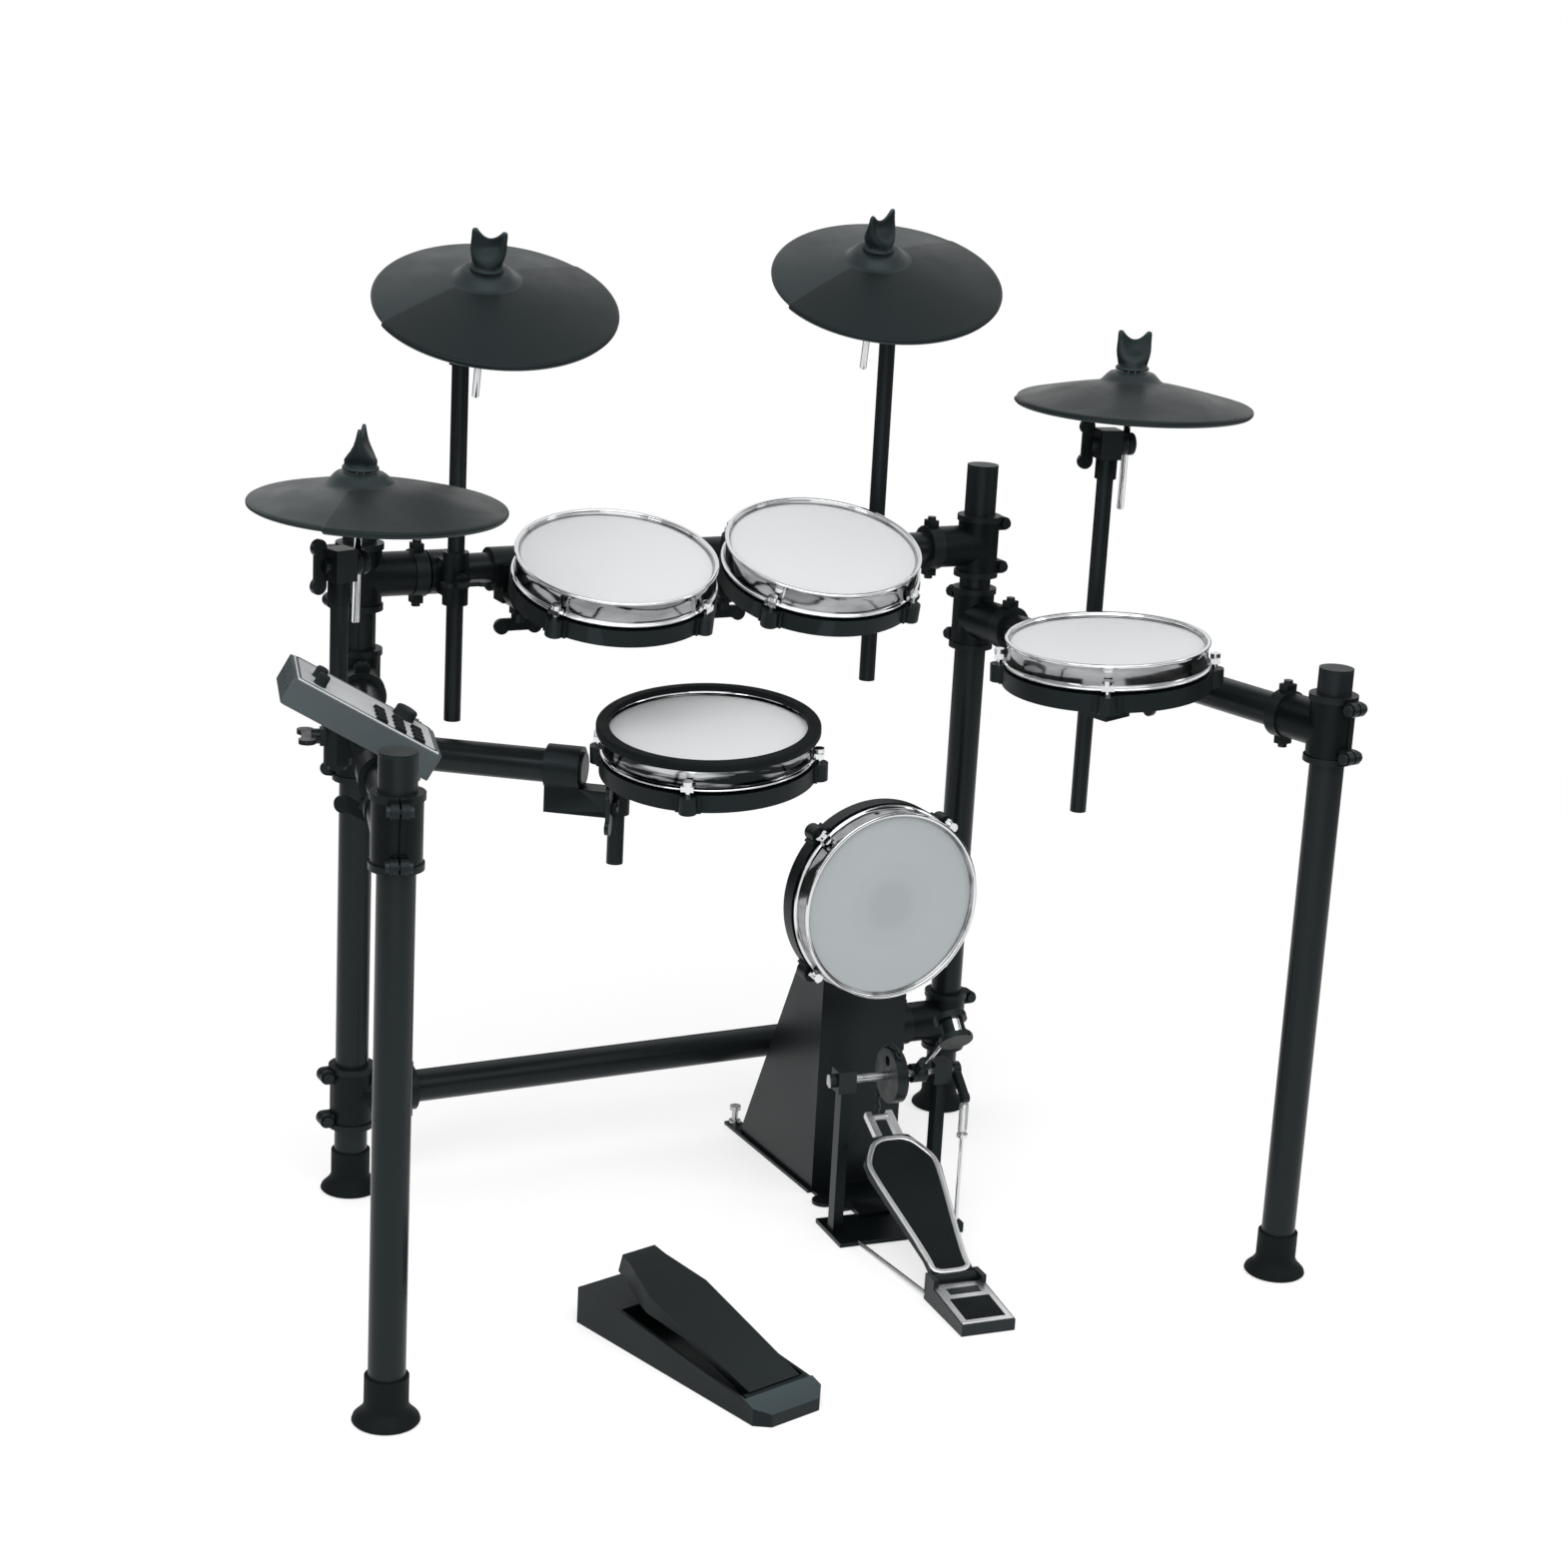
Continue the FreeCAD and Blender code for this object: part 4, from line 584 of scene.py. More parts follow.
def rounded_box(size, corner):
    work = bmesh.new()
    bmesh.ops.create_cube(work, size=1.0)
    for v in work.verts:
        v.co = Vector([c * s * MM for c, s in zip(v.co, size)])
    bmesh.ops.bevel(work, geom=work.edges[:], offset=corner * MM, segments=3, profile=0.5, affect="EDGES")
    points = [tuple(v.co) for v in work.verts]
    work.verts.index_update()
    faces = [tuple(v.index for v in f.verts) for f in work.faces]
    work.free()
    return points, faces


print("faces of a rounded box:", len(rounded_box((10, 10, 10), 1.0)[1]))

# %% [markdown]
# ## Mesh heads
# A pad's head is a woven net that gives way under the stick like a drum skin. The weave is two crossed
# waves in the disc's own flat coordinates, about a millimetre apart, and the higher of the two is the
# thread that the bump lifts. The kick's net is greyer, with a spot where the beater lands.

# %% Head finish
WEAVE_PITCH = 1.1
SPOT, HALO = (0.022, 0.036), (0.046, 0.058)


def woven_net(name, low, high, patch):
    made, tree, skin = finish(name, high, 0.62, specular=0.25)
    flat = tree.nodes.new("ShaderNodeUVMap")
    threads = []
    for way in ("X", "Y"):
        wave = tree.nodes.new("ShaderNodeTexWave")
        wave.bands_direction = way
        wave.inputs["Scale"].default_value = wave_scale(WEAVE_PITCH)
        tree.links.new(flat.outputs["UV"], wave.inputs["Vector"])
        threads.append(wave.outputs["Fac"])
    thread = larger(tree, *threads)
    cloth = blend_colours(tree, thread, low, high)
    if patch:
        far = distance(tree, flat.outputs["UV"])
        worn = tuple(0.8 * c for c in low)
        cloth = blend_colours(tree, remap(tree, far, 0.1, 0.0, *HALO), cloth, worn)
        cloth = blend_colours(tree, remap(tree, far, 0.3, 0.0, *SPOT), cloth, worn)
    feed(tree, skin, Base_Color=cloth, Roughness=remap(tree, grain(tree, 25, 3), 0.55, 0.7))
    skin.inputs["Sheen Weight"].default_value = 0.1
    bump(tree, skin, thread, 0.00012)
    return made


plain_net = woven_net("woven_mesh_head", (0.66, 0.67, 0.68), (0.79, 0.80, 0.81), False)
# The snare's net is the same weave painted brighter, a painted lift against the shade that the toms above
# cast on it.
snare_net_painted_brighter = woven_net("woven_snare_head_painted_brighter", (0.74, 0.75, 0.76), (0.87, 0.88, 0.89), False)
kick_net = woven_net("woven_kick_head", (0.46, 0.50, 0.51), (0.56, 0.60, 0.615), True)
print("weave: %.1f mm between threads" % WEAVE_PITCH)

# %% [markdown]
# The head is pulled over the shell's edge by the hoop. It could be a flat disc, but then its edge would
# end in the air, so the sheet turns down behind the hoop by the depth of its collar.

# %% Heads
HEAD_STEPS, HEAD_RINGS = 96, 12
COLLAR, TURN_R, PLY = 7 * MM, 2.5 * MM, 0.15 * MM
SHELL_R = dict.fromkeys(PADS, 105.5)
SHELL_R["snare"] = 111.0
HEAD_NET = {"kick": kick_net, "snare": snare_net_painted_brighter}


def mesh_head(pad):
    edge = SHELL_R[pad] * MM
    path = [(edge * k / HEAD_RINGS, 0.0) for k in range(1, HEAD_RINGS)]
    path += [(edge - 0.4 * MM, 0.0), (edge + 1.6 * MM, -0.1 * MM), (edge + 2.3 * MM, -0.6 * MM),
             (edge + TURN_R, -1.4 * MM), (edge + TURN_R, -COLLAR)]
    points = [(0, 0, 0)]
    turn = [2 * math.pi * i / HEAD_STEPS for i in range(HEAD_STEPS)]
    for r, z in path:
        points += [(r * math.cos(a), r * math.sin(a), z - PLY) for a in turn]
    faces = [(0, 1 + i, 1 + (i + 1) % HEAD_STEPS) for i in range(HEAD_STEPS)]
    faces += [tuple(v + 1 for v in reversed(f)) for f in ring_faces(len(path), HEAD_STEPS)]
    head = piece(pad + "_mesh_head", points, faces, pad_place[pad], [HEAD_NET.get(pad, plain_net)],
                 pad_body(pad), "mesh", solid=False)
    flat = head.data.uv_layers.new(name="flat")
    for loop in head.data.loops:
        flat.data[loop.index].uv = points[loop.vertex_index][:2]
    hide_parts(pad + "_head")


for pad in PADS:
    mesh_head(pad)

# %% [markdown]
# ## Hoops
# A hoop is a band of steel, rolled to a lip on top and to a flange below, where the claws of the
# tension rods pull. Its wall is slightly hollow between the two, and the wall's faces take a dark,
# streaked chrome whose colour paints the dark band of reflection between a bright lip and a bright
# flange. It is turned from one profile.

# %% Hoops
HOOP_STEPS = 160
HOOP_OFF = 3.4
FLANGE = 5.6
PAINTED_BAND_LOW, PAINTED_BAND_HIGH = -19, 2.2


def hoop_profile(shell):
    wall = shell + HOOP_OFF
    flange = [(wall + 5.5, -21.9), (wall + FLANGE, -21.2), (wall + 5.5, -20.4), (wall + 4.6, -19.9),
              (wall + 3.2, -19.4), (wall + 2.2, -18.2)]
    band = [(wall + 1.7, -16), (wall + 1.4, -10), (wall + 1.5, -4), (wall + 2.0, 0.5)]
    lip = [(wall + 3.1, 2.6), (wall + 3.9, 3.6), (wall + 4.0, 4.6), (wall + 3.6, 5.5), (wall + 2.6, 6.0),
           (wall + 0.8, 6.0), (wall - 0.4, 5.5), (wall - 0.9, 4.6), (wall - 0.6, 2.4)]
    seat = [(shell + 1.2, 1.9), (shell + 0.6, 1.5), (shell + 0.6, 0.2), (wall + 0.1, 0.1),
            (wall + 0.1, -21.9)]
    return flange + band + lip + seat


def hoop(pad):
    coats = [chrome, snare_painted_reflection_wall if pad == "snare" else painted_reflection_wall]
    made = piece(pad + "_rolled_hoop", *turned(hoop_profile(SHELL_R[pad]), HOOP_STEPS), pad_place[pad],
                 coats, pad_body(pad), "chrome")
    inward = pad_place[pad].inverted()
    # The wall faces take the dark chrome, which paints the dark band of reflection.
    for face in made.data.polygons:
        face.material_index = 1 if PAINTED_BAND_LOW < (inward @ face.center).z / MM < PAINTED_BAND_HIGH else 0
    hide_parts(pad + "_hoop")
    print("%s hoop: %.0f mm over the flange" % (pad, 2 * (SHELL_R[pad] + HOOP_OFF + FLANGE)))


for pad in PADS:
    hoop(pad)

# %% [markdown]
# ## Rubber cymbals
# Each cymbal is a plate with a skin of moulded rubber. The skin has fine grooves in rings, as a turned
# bronze cymbal has, and they are drawn as a wave of the distance from the plate's middle. The playing
# zone is a second pour, slightly darker and duller than the rest.

# %% Cymbal finish
GROOVE_PITCH = 1.6


def cymbal_rubber(name, low, high, rough, specular):
    made, tree, skin = finish(name, low, rough, specular=specular, cast=COOL)
    flat = tree.nodes.new("ShaderNodeUVMap")
    circle = tree.nodes.new("ShaderNodeCombineXYZ")
    tree.links.new(distance(tree, flat.outputs["UV"]), circle.inputs["X"])
    groove = tree.nodes.new("ShaderNodeTexWave")
    groove.inputs["Scale"].default_value = wave_scale(GROOVE_PITCH)
    tree.links.new(circle.outputs["Vector"], groove.inputs["Vector"])
    cloud = grain(tree, 22, 4)
    tone = blend_colours(tree, cloud, low, high)
    worn = blend_colours(tree, edges(tree, 0.52, 0.62), tone, (0.03, 0.036, 0.038))
    feed(tree, skin, Base_Color=worn, Roughness=remap(tree, cloud, rough - 0.06, rough + 0.08))
    skin.inputs["Sheen Weight"].default_value = 0.04
    bump(tree, skin, groove.outputs["Fac"], 0.00004)
    return made


face_rubber = cymbal_rubber("cymbal_face_rubber", (0.0084, 0.0130, 0.0146), (0.0118, 0.0175, 0.0192),
                            0.4, 0.25)
zone_rubber = cymbal_rubber("cymbal_zone_rubber", (0.0044, 0.0071, 0.0080), (0.0064, 0.0099, 0.0110),
                            0.4, 0.15)
print("grooves: %.1f mm apart" % GROOVE_PITCH)

# %% [markdown]
# The plate hangs off centre on its bell, with more of it on the playing side, where the zone reaches
# past the edge. A plain lathe can't give that, so the section is worked out anew at every angle: how
# far the rim is from the bell, how high the plate is there, and whether the zone covers it.

# %% Cymbal section
PLATE_R, PLATE_OFF = 133.0, 18.0
PLATE_PEAK, PLATE_SLOPE, PLATE_CROWN = 23.4, 0.2737, 60.0
BELL_TOP, BELL_FLAT, BELL_BLEND, BELL_FOOT = 15.0, 22.0, 16.0, 40
ZONE_OUT, ZONE_HALF, ZONE_STEP = 3.0, 100.0, 1.4
INNER_R, PLATE_T = 66.0, 5.1
SEAT = [(36.0, -5.6), (33.0, -6.0), (13.4, -6.0), (14.1, -2.5), (14.4, 0.0), (13.7, 4.6), (12.3, 7.6),
        (10.8, 9.9)]


def reach(radius, off):
    return PLATE_OFF * math.cos(off) + math.sqrt(radius ** 2 - (PLATE_OFF * math.sin(off)) ** 2)


def plate_top(r, off):
    far = math.sqrt(r * r + PLATE_OFF ** 2 - 2 * r * PLATE_OFF * math.cos(off))
    return PLATE_PEAK - PLATE_SLOPE * math.hypot(far, PLATE_CROWN)


def bell(r, off):
    rise = 0.5 * (1 + math.cos(math.pi * min(max((r - BELL_FLAT) / BELL_BLEND, 0), 1)))
    low = plate_top(r, off)
    return low + (BELL_TOP - low) * rise


def zone_share(off):
    edge = reach(PLATE_R, off)
    turn = math.degrees(math.atan2(edge * math.sin(off), edge * math.cos(off) - PLATE_OFF))
    return min(max((ZONE_HALF - abs(turn)) / ZONE_STEP + 0.5, 0.0), 1.0)


def cymbal_section(off):
    zone = zone_share(off)
    rim, inner = reach(PLATE_R + ZONE_OUT * zone, off), reach(INNER_R, off)
    top = [(10.8, 14.5), (12.0, BELL_TOP)]
    top += [(r, bell(r, off)) for r in (17, 22, 25, 28, 31, 34, 37, BELL_FOOT)]
    top += [(r, plate_top(r, off)) for r in np.linspace(BELL_FOOT, inner - 0.6, 5)[1:]]
    top += [(r, plate_top(r, off)) for r in np.linspace(inner + 0.6, rim - 5, 9)]
    height = plate_top(rim, off)
    top += [(rim - 2.6, height + 0.7), (rim - 1.0, height - 0.2), (rim - 0.2, height - 1.4),
            (rim, height - 2.6)]
    low = [(rim - 0.3, height - 4.2), (rim - 2.0, height - 5.2 - zone),
           (rim - 8.0, plate_top(rim - 8, off) - 5.0)]
    low += [(r, plate_top(r, off) - PLATE_T) for r in np.linspace(rim - 8, BELL_FOOT + 1, 6)[1:]]
    return top + low + SEAT


long_side, short_side = reach(PLATE_R + ZONE_OUT, 0), reach(PLATE_R, math.pi)
print("rim: %.0f mm on the zone's side, %.0f mm behind" % (long_side, short_side))

# %% [markdown]
# With the sections in hand the plate is a closed ring of them. The faces outside the bell take the
# zone's finish where the zone covers them, and the flat drawing for the grooves is measured from the
# plate's own middle, not from the bell.

# %% Cymbals
CYMBAL_STEPS = 240
ZONE_ROWS = range(9, 26)


def cymbal_plate(cymbal):
    turn = math.radians(zone_angle[cymbal])
    points, faces, zones = [], [], []
    for i in range(CYMBAL_STEPS):
        off = 2 * math.pi * i / CYMBAL_STEPS
        a = turn + off
        points += [(r * MM * math.cos(a), r * MM * math.sin(a), z * MM) for r, z in cymbal_section(off)]
    count = len(points) // CYMBAL_STEPS
    for i in range(CYMBAL_STEPS):
        j = (i + 1) % CYMBAL_STEPS
        covered = zone_share(2 * math.pi * (i + 0.5) / CYMBAL_STEPS) > 0.5
        for k in range(count):
            n = (k + 1) % count
            faces.append((i * count + k, j * count + k, j * count + n, i * count + n))
            zones.append(1 if covered and k in ZONE_ROWS else 0)
    made = piece(cymbal + "_rubber_plate", points, faces, cymbal_place[cymbal], [face_rubber, zone_rubber],
                 cymbal + "_plate", "cymbal_rubber", solid=False)
    middle = Vector((PLATE_OFF * MM * math.cos(turn), PLATE_OFF * MM * math.sin(turn)))
    flat = made.data.uv_layers.new(name="flat")
    for loop in made.data.loops:
        flat.data[loop.index].uv = Vector(points[loop.vertex_index][:2]) - middle
    made.data.polygons.foreach_set("material_index", zones)
    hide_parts(cymbal + "_cymbal")
    print("%s: %d faces" % (made.name, len(faces)))


for cymbal in CYMBALS:
    cymbal_plate(cymbal)

# %% [markdown]
# Under the plate, on the side away from the zone, sits a small moulded box with the socket for the
# trigger's lead. It is a box with rounded edges, and the socket's plated collar is turned and set
# into its outer end.

# %% Socket boxes under the cymbals
BOX_AT, BOX_DROP, BOX_SIZE, BOX_EDGE = 76.5, 9.8, (35.6, 23.6, 11.4), 2.2
COLLAR_AT, COLLAR_STEPS = 17.6, 32
PORT = [(2.2, -1.5), (3.2, -1.5), (4.6, -1.5), (5.2, -0.6), (5.2, 0.6), (4.8, 1.0), (3.2, 1.0), (2.9, 0.4),
        (2.2, 0.4)]
drop = plate_top(BOX_AT, math.pi) - BOX_DROP
for cymbal in CYMBALS:
    away = Matrix.Rotation(math.radians(zone_angle[cymbal] + 180), 4, "Z")
    at = cymbal_place[cymbal] @ away @ Matrix.Translation((BOX_AT * MM, 0, drop * MM))
    piece(cymbal + "_socket_box", *rounded_box(BOX_SIZE, BOX_EDGE), at, [nylon], cymbal + "_plate",
          "cymbal_rubber")
    face = at @ Matrix.Translation((COLLAR_AT * MM, 0, 0)) @ Matrix.Rotation(math.pi / 2, 4, "Y")
    piece(cymbal + "_socket_ring", *turned(PORT, COLLAR_STEPS), face, [steel], cymbal + "_plate", "chrome")
print("socket boxes: %.1f mm below the middle of the ball" % -drop)

# %% [markdown]
# ## Spindles
# A cymbal hangs on a chromed rod that leaves a clamping barrel. It rests on a rubber ball, which lets
# it rock, and a soft rubber topper with two horns is pushed over the rod so that it can't fly off.
# The topper is lofted: round at its foot, wide and flat at its horns, and dished between them.

# %% Toppers
TOPPER_TURN = {"hihat": 45.0, "crash_left": -15.0, "crash_right": 37.0, "ride": -15.0}
TOPPER = ((17.5, 18.2, 18.2), (18.1, 19, 19), (20.2, 19, 19), (21.0, 18.2, 18.2), (22.4, 16.4, 16.8),
          (27, 17.4, 18.4), (33, 18.8, 18.8), (39, 19.6, 16.6), (44, 19.6, 13.2), (49, 19.4, 10.0),
          (53.5, 19.4, 7.6), (57.5, 19.4, 5.8), (60, 19, 4.6), (61.4, 18, 3.4))
TOPPER_STEPS = 48
WAIST, WAIST_FROM, WAIST_OVER = 0.75, 25, 20
DISH_DEEP, DISH_HALF, DISH_FROM, DISH_OVER = 10.0, 14.0, 28, 34


def topper():
    points = []
    for z, a, b in TOPPER:
        pinch = WAIST * min(max((z - WAIST_FROM) / WAIST_OVER, 0), 1)
        dip = DISH_DEEP * max(0.0, (z - DISH_FROM) / DISH_OVER) ** 2
        for i in range(TOPPER_STEPS):
            t = 2 * math.pi * i / TOPPER_STEPS
            x = a * math.cos(t)
            y = b * math.sin(t) * (1 - pinch * (1 - (x / a) ** 2))
            points.append((x * MM, y * MM, (z - dip * max(0.0, 1 - (x / DISH_HALF) ** 2)) * MM))
    faces = ring_faces(len(TOPPER), TOPPER_STEPS) + [tuple(range(TOPPER_STEPS))]
    last = (len(TOPPER) - 1) * TOPPER_STEPS
    for i in range(TOPPER_STEPS // 2):
        mirror, beside = (TOPPER_STEPS - i) % TOPPER_STEPS, (TOPPER_STEPS - i - 1) % TOPPER_STEPS
        faces.append((last + i, last + i + 1, last + beside, last + mirror))
    return points, faces


print("topper: %.0f mm tall" % (TOPPER[-1][0] - TOPPER[0][0]))

# %% [markdown]
# Rod, ball and barrel are all turned parts, so each is one profile on the lathe. The barrel lies
# across the rod, on the axis that the cymbal tilts about.

# %% Spindles
ROD = [(0, -144), (3.2, -144), (4, -143.2), (4, -15), (8.4, -15), (9, -14.4), (9, -10.7), (8.4, -10.1),
       (4, -10.1), (4, 21), (3.4, 22), (0, 22)]
BALL_R = 14
ROD_STEPS, WIDE_STEPS = 32, 48
BALL = [(4.2, -10)] + [(BALL_R * math.cos(t), BALL_R * math.sin(t)) for t in np.linspace(-0.79, 0.6, 12)]
BALL += [(11, 8), (4.2, 8)]
BARREL = [(0, -18), (4.9, -18), (4.9, -8.6), (11.6, -8.6), (12.6, -8.1), (13, -7.1), (13, -1.2),
          (12.4, -0.7), (12.4, 0.7), (13, 1.2), (13, 7.1), (12.6, 8.1), (11.6, 8.6), (6.5, 8.6),
          (6.2, 7.9), (0, 7.9)]
for cymbal in CYMBALS:
    at, body = cymbal_place[cymbal], cymbal + "_tilter"
    rod = piece(cymbal + "_spindle_rod", *turned(ROD, ROD_STEPS), at, [chrome], body, "chrome")
    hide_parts(cymbal + "_spindle")
    piece(cymbal + "_ball_seat", *turned(BALL, WIDE_STEPS), at, [rubber], body, "black_rubber")
    hub = at @ Matrix.Translation((0, 0, -cymbal_rise[cymbal])) @ Matrix.Rotation(math.pi / 2, 4, "Y")
    piece(cymbal + "_clamp_barrel", *turned(BARREL, WIDE_STEPS), hub, [nylon], body, "black_plastic")
    horns = at @ Matrix.Rotation(math.radians(TOPPER_TURN[cymbal]), 4, "Z")
    piece(cymbal + "_topper", *topper(), horns, [topper_black], body, "black_rubber")
print("spindles:", len(CYMBALS))

# %% [markdown]
# ## Kick pedal
# The footboard is a cast plate with a polished border and two bright prongs that hold the chain's pin.
# The heel plate has a bright cap with a dark window and a rubber inset. The border is a rounded strip
# round the board's outline, so it catches the light along its whole length.

# %% Pedal trim
BOARD_HINGE, BOARD_RISE, BOARD_TOP = (0, -195, 24), math.radians(25), 4.0
PRONGS_FROM, BORDER_SIZE = 211.5, (6.4, 1.6)
BOARD_SIDE = [(21.6, 7), (21.6, 30), (41.2, 157), (40.2, 176), (20.4, 207.6)]
HEEL_EDGE, HEEL_RISE = (0, -287, 13), math.atan2(9, 83)


def flat_place(origin, rise):
    return pedal_place @ Matrix.Translation(Vector(origin) * MM) @ Matrix.Rotation(rise, 4, "X")


board_place = flat_place(BOARD_HINGE, BOARD_RISE)
second_coat("pedal_footboard", alloy, board_place, lambda x, y, z, up: y > PRONGS_FROM)
border = [(x, y, BOARD_TOP) for x, y in BOARD_SIDE]
border += [(-x, y, z) for x, y, z in reversed(border)]
piece("footboard_border", *trim_loop(border, *BORDER_SIZE), board_place, [alloy], "kick_board", "pedal_alu")

heel_place = flat_place(HEEL_EDGE, HEEL_RISE)
HEEL_TRIM = (("heel_cap", (61, 80, 2.6), 1.0, 42, 0.0, alloy, "pedal_alu"),
             ("heel_window", (38, 13, 1.6), 0.7, 66, 0.8, tube_coat, "black_paint"),
             ("heel_inset", (48, 44, 1.6), 0.7, 30, 0.8, rubber, "black_rubber"))
for name, size, corner, along, proud, coat, slot in HEEL_TRIM:
    at = heel_place @ Matrix.Translation((0, along * MM, proud * MM))
    piece(name, *rounded_box(size, corner), at, [coat], "rack", slot)
print("pedal trim:", 1 + len(HEEL_TRIM), "pieces")

# %% [markdown]
# ## Chain
# A chain pulls the cam round when the board goes down. It runs up from the board's prongs behind the
# cam and over its rim. Each link is a bent wire with every second one turned on edge. The hanging links
# swing with the board and the rest turn with the cam, and they are split just past the point where the
# chain meets the cam, so that the two runs stay together at both ends of the stroke.

# %% Chain
LINK_LONG, LINK_END, LINK_HALF, LINK_WIRE = 11.5, 3.0, 2.6, 1.15
LINK_STEPS, LINK_SIDES = 20, 6
CHAIN_R, PITCH = 34.2, 7.6
PIN_Y, PIN_RISE = 244.9, 3


def chain_link(at, along, across):
    path = []
    for i in range(LINK_STEPS):
        t = 2 * math.pi * i / LINK_STEPS
        out = math.copysign(LINK_LONG / 2 - LINK_END, math.cos(t)) + LINK_END * math.cos(t)
        path.append(Vector(at) + Vector(along) * out + Vector(across) * LINK_HALF * math.sin(t))
    return sweep(path, LINK_WIRE, LINK_SIDES, closed=True)


def chain_spot(travel):
    turn = max(travel, 0) / CHAIN_R
    at = (0, CHAIN_R * math.cos(turn), AXLE_Z + CHAIN_R * math.sin(turn) + min(travel, 0))
    return at, (0, -math.sin(turn), math.cos(turn)), (0, math.cos(turn), math.sin(turn))


def chain(first, count):
    links = []
    for k in range(first, first + count):
        at, along, outward = chain_spot(chain_foot - AXLE_Z + PITCH * k)
        links.append(chain_link(at, along, (1, 0, 0) if k % 2 else outward))
    return joined(links)


chain_foot = (pedal_place.inverted() @ board_place @ Vector((0, PIN_Y * MM, 0))).z / MM + PIN_RISE
HANGING, ON_CAM = round((AXLE_Z - chain_foot) / PITCH) + 3, 7
hung = piece("pedal_link_chain", *chain(0, HANGING), pedal_place, [screw_black], "kick_chain", "steel")
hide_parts("pedal_chain")
piece("cam_link_chain", *chain(HANGING, ON_CAM), pedal_place, [screw_black], "kick_beater", "steel")
print("chain links:", HANGING, "hanging,", ON_CAM, "on the cam")

# %% [markdown]
# ## Return spring
# A coil spring hangs from the axle's lever and pulls the beater back. It is one wire with a straight
# tail at each end, hooked to the frame below and to the lever above. It is made in the pedal's frame
# and baked in place, riding on no body.

# %% Return spring
COIL_TURNS, COIL_R, WIRE_R, WIRE_SIDES = 15, 4.75, 0.75, 8
COIL_X, COIL_Y, COIL_TOP, COIL_LONG = 80, -30, 158.5, 34.5
TAIL_DROP, TAIL_STEP, TURN_STEP = 5, 1.2, 0.35
COIL_LOW = COIL_TOP - COIL_LONG


def coil_path():
    whole = 2 * math.pi * COIL_TURNS
    path = [(COIL_X, COIL_Y, COIL_LOW - TAIL_DROP + TAIL_STEP * k) for k in range(4)]
    for t in np.arange(0, whole, TURN_STEP):
        x = COIL_X + COIL_R * math.cos(t) * min(1, t)
        path.append((x, COIL_Y + COIL_R * math.sin(t), COIL_LOW + COIL_LONG * t / whole))
    return path + [(COIL_X, COIL_Y, COIL_TOP + TAIL_STEP * k) for k in range(5)]


wire = sweep(coil_path(), WIRE_R, WIRE_SIDES)
coil = piece("pedal_return_coil", *wire, pedal_place, [chrome], None, "steel")
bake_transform(coil)
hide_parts("pedal_spring")
print("coil: %d turns of %.1f mm wire" % (COIL_TURNS, 2 * WIRE_R))

# %% [markdown]
# ## Panel of the sound module
# The panel is let into the case behind a raised rim, and its keys are the caps of one silicone mat that
# comes through from behind. The rim is a strip round a rectangle with rounded corners, and the caps are
# rounded boxes in rows, all placed from the size of the panel and the mat.

# %% Panel rim and key caps
RIM_IN, RIM_CORNER, RIM_SIZE, RIM_LIFT = 2.2, 5, (2.6, 0.9), -0.2
KEY_ROWS, KEY_COLUMNS, KEY_SIZE, KEY_EDGE, KEY_SINK = 3, 4, (12.4, 8.8, 5.0), 2.0, 2.0
KEY_MARGIN = (6, 4.75)


def module_box(node):
    inward = module_place.inverted()
    spots = np.array([inward @ Vector(p) for p in corners(node)]) / MM
    return spots.min(axis=0), spots.max(axis=0)


def panel_rim():
    low, high = module_box("module_panel")
    inset = RIM_IN + RIM_CORNER
    (x0, y0, _), (x1, y1, _) = low + inset, high - inset
    outline = []
    for k, (x, y) in enumerate(((x1, y0), (x1, y1), (x0, y1), (x0, y0))):
        for t in np.linspace(-math.pi / 2, 0, 7) + k * math.pi / 2:
            outline.append((x + RIM_CORNER * math.cos(t), y + RIM_CORNER * math.sin(t), high[2] + RIM_LIFT))
    return trim_loop(outline, *RIM_SIZE)


def key_caps():
    low, high = module_box("module_keypad")
    print("key mat from", low.round(1), "to", high.round(1), "mm")
    caps = []
    for x in np.linspace(low[0] + KEY_MARGIN[0], high[0] - KEY_MARGIN[0], KEY_ROWS):
        for y in np.linspace(low[1] + KEY_MARGIN[1], high[1] - KEY_MARGIN[1], KEY_COLUMNS):
            points, faces = rounded_box(KEY_SIZE, KEY_EDGE)
            lift = (high[2] - KEY_SINK) * MM
            caps.append(([(p[0] + x * MM, p[1] + y * MM, p[2] + lift) for p in points], faces))
    return joined(caps)


piece("module_panel_rim", *panel_rim(), module_place, [case_grey], "module", "grey_plastic")
keys = piece("module_key_caps", *key_caps(), module_place, [rubber], "module", "black_rubber")
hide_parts("module_keypad")

# %% [markdown]
# ## Knobs of the sound module
# The volume knobs and the data dial are turned with wet fingers on stage, so they are fluted. Each is
# turned from a profile whose radius is pinched in and out around the rim, with a dished cap on top. A
# plain cylinder with a bump would keep a round outline, and the outline is what the eye reads here.

# %% Knobs
FLUTE_DEEP, FLUTE_STEPS, KNOB_LIFT = 0.7, 6, 0.4


def knob_profile(size, tall):
    skirt = [(0, 0, 0), (size, 0, 0), (size, 1.4, 0)]
    grip = [(size - 0.5, 2, 1), (size - 0.5, tall - 2.2, 1), (size - 0.9, tall - 1.2, 0.8)]
    cap = [(size - 1.8, tall - 0.3, 0), (size - 2.8, tall, 0), (size - 4, tall - 0.3, 0),
           (size - 5, tall - 0.8, 0), (0, tall - 0.9, 0)]
    return skirt + grip + cap


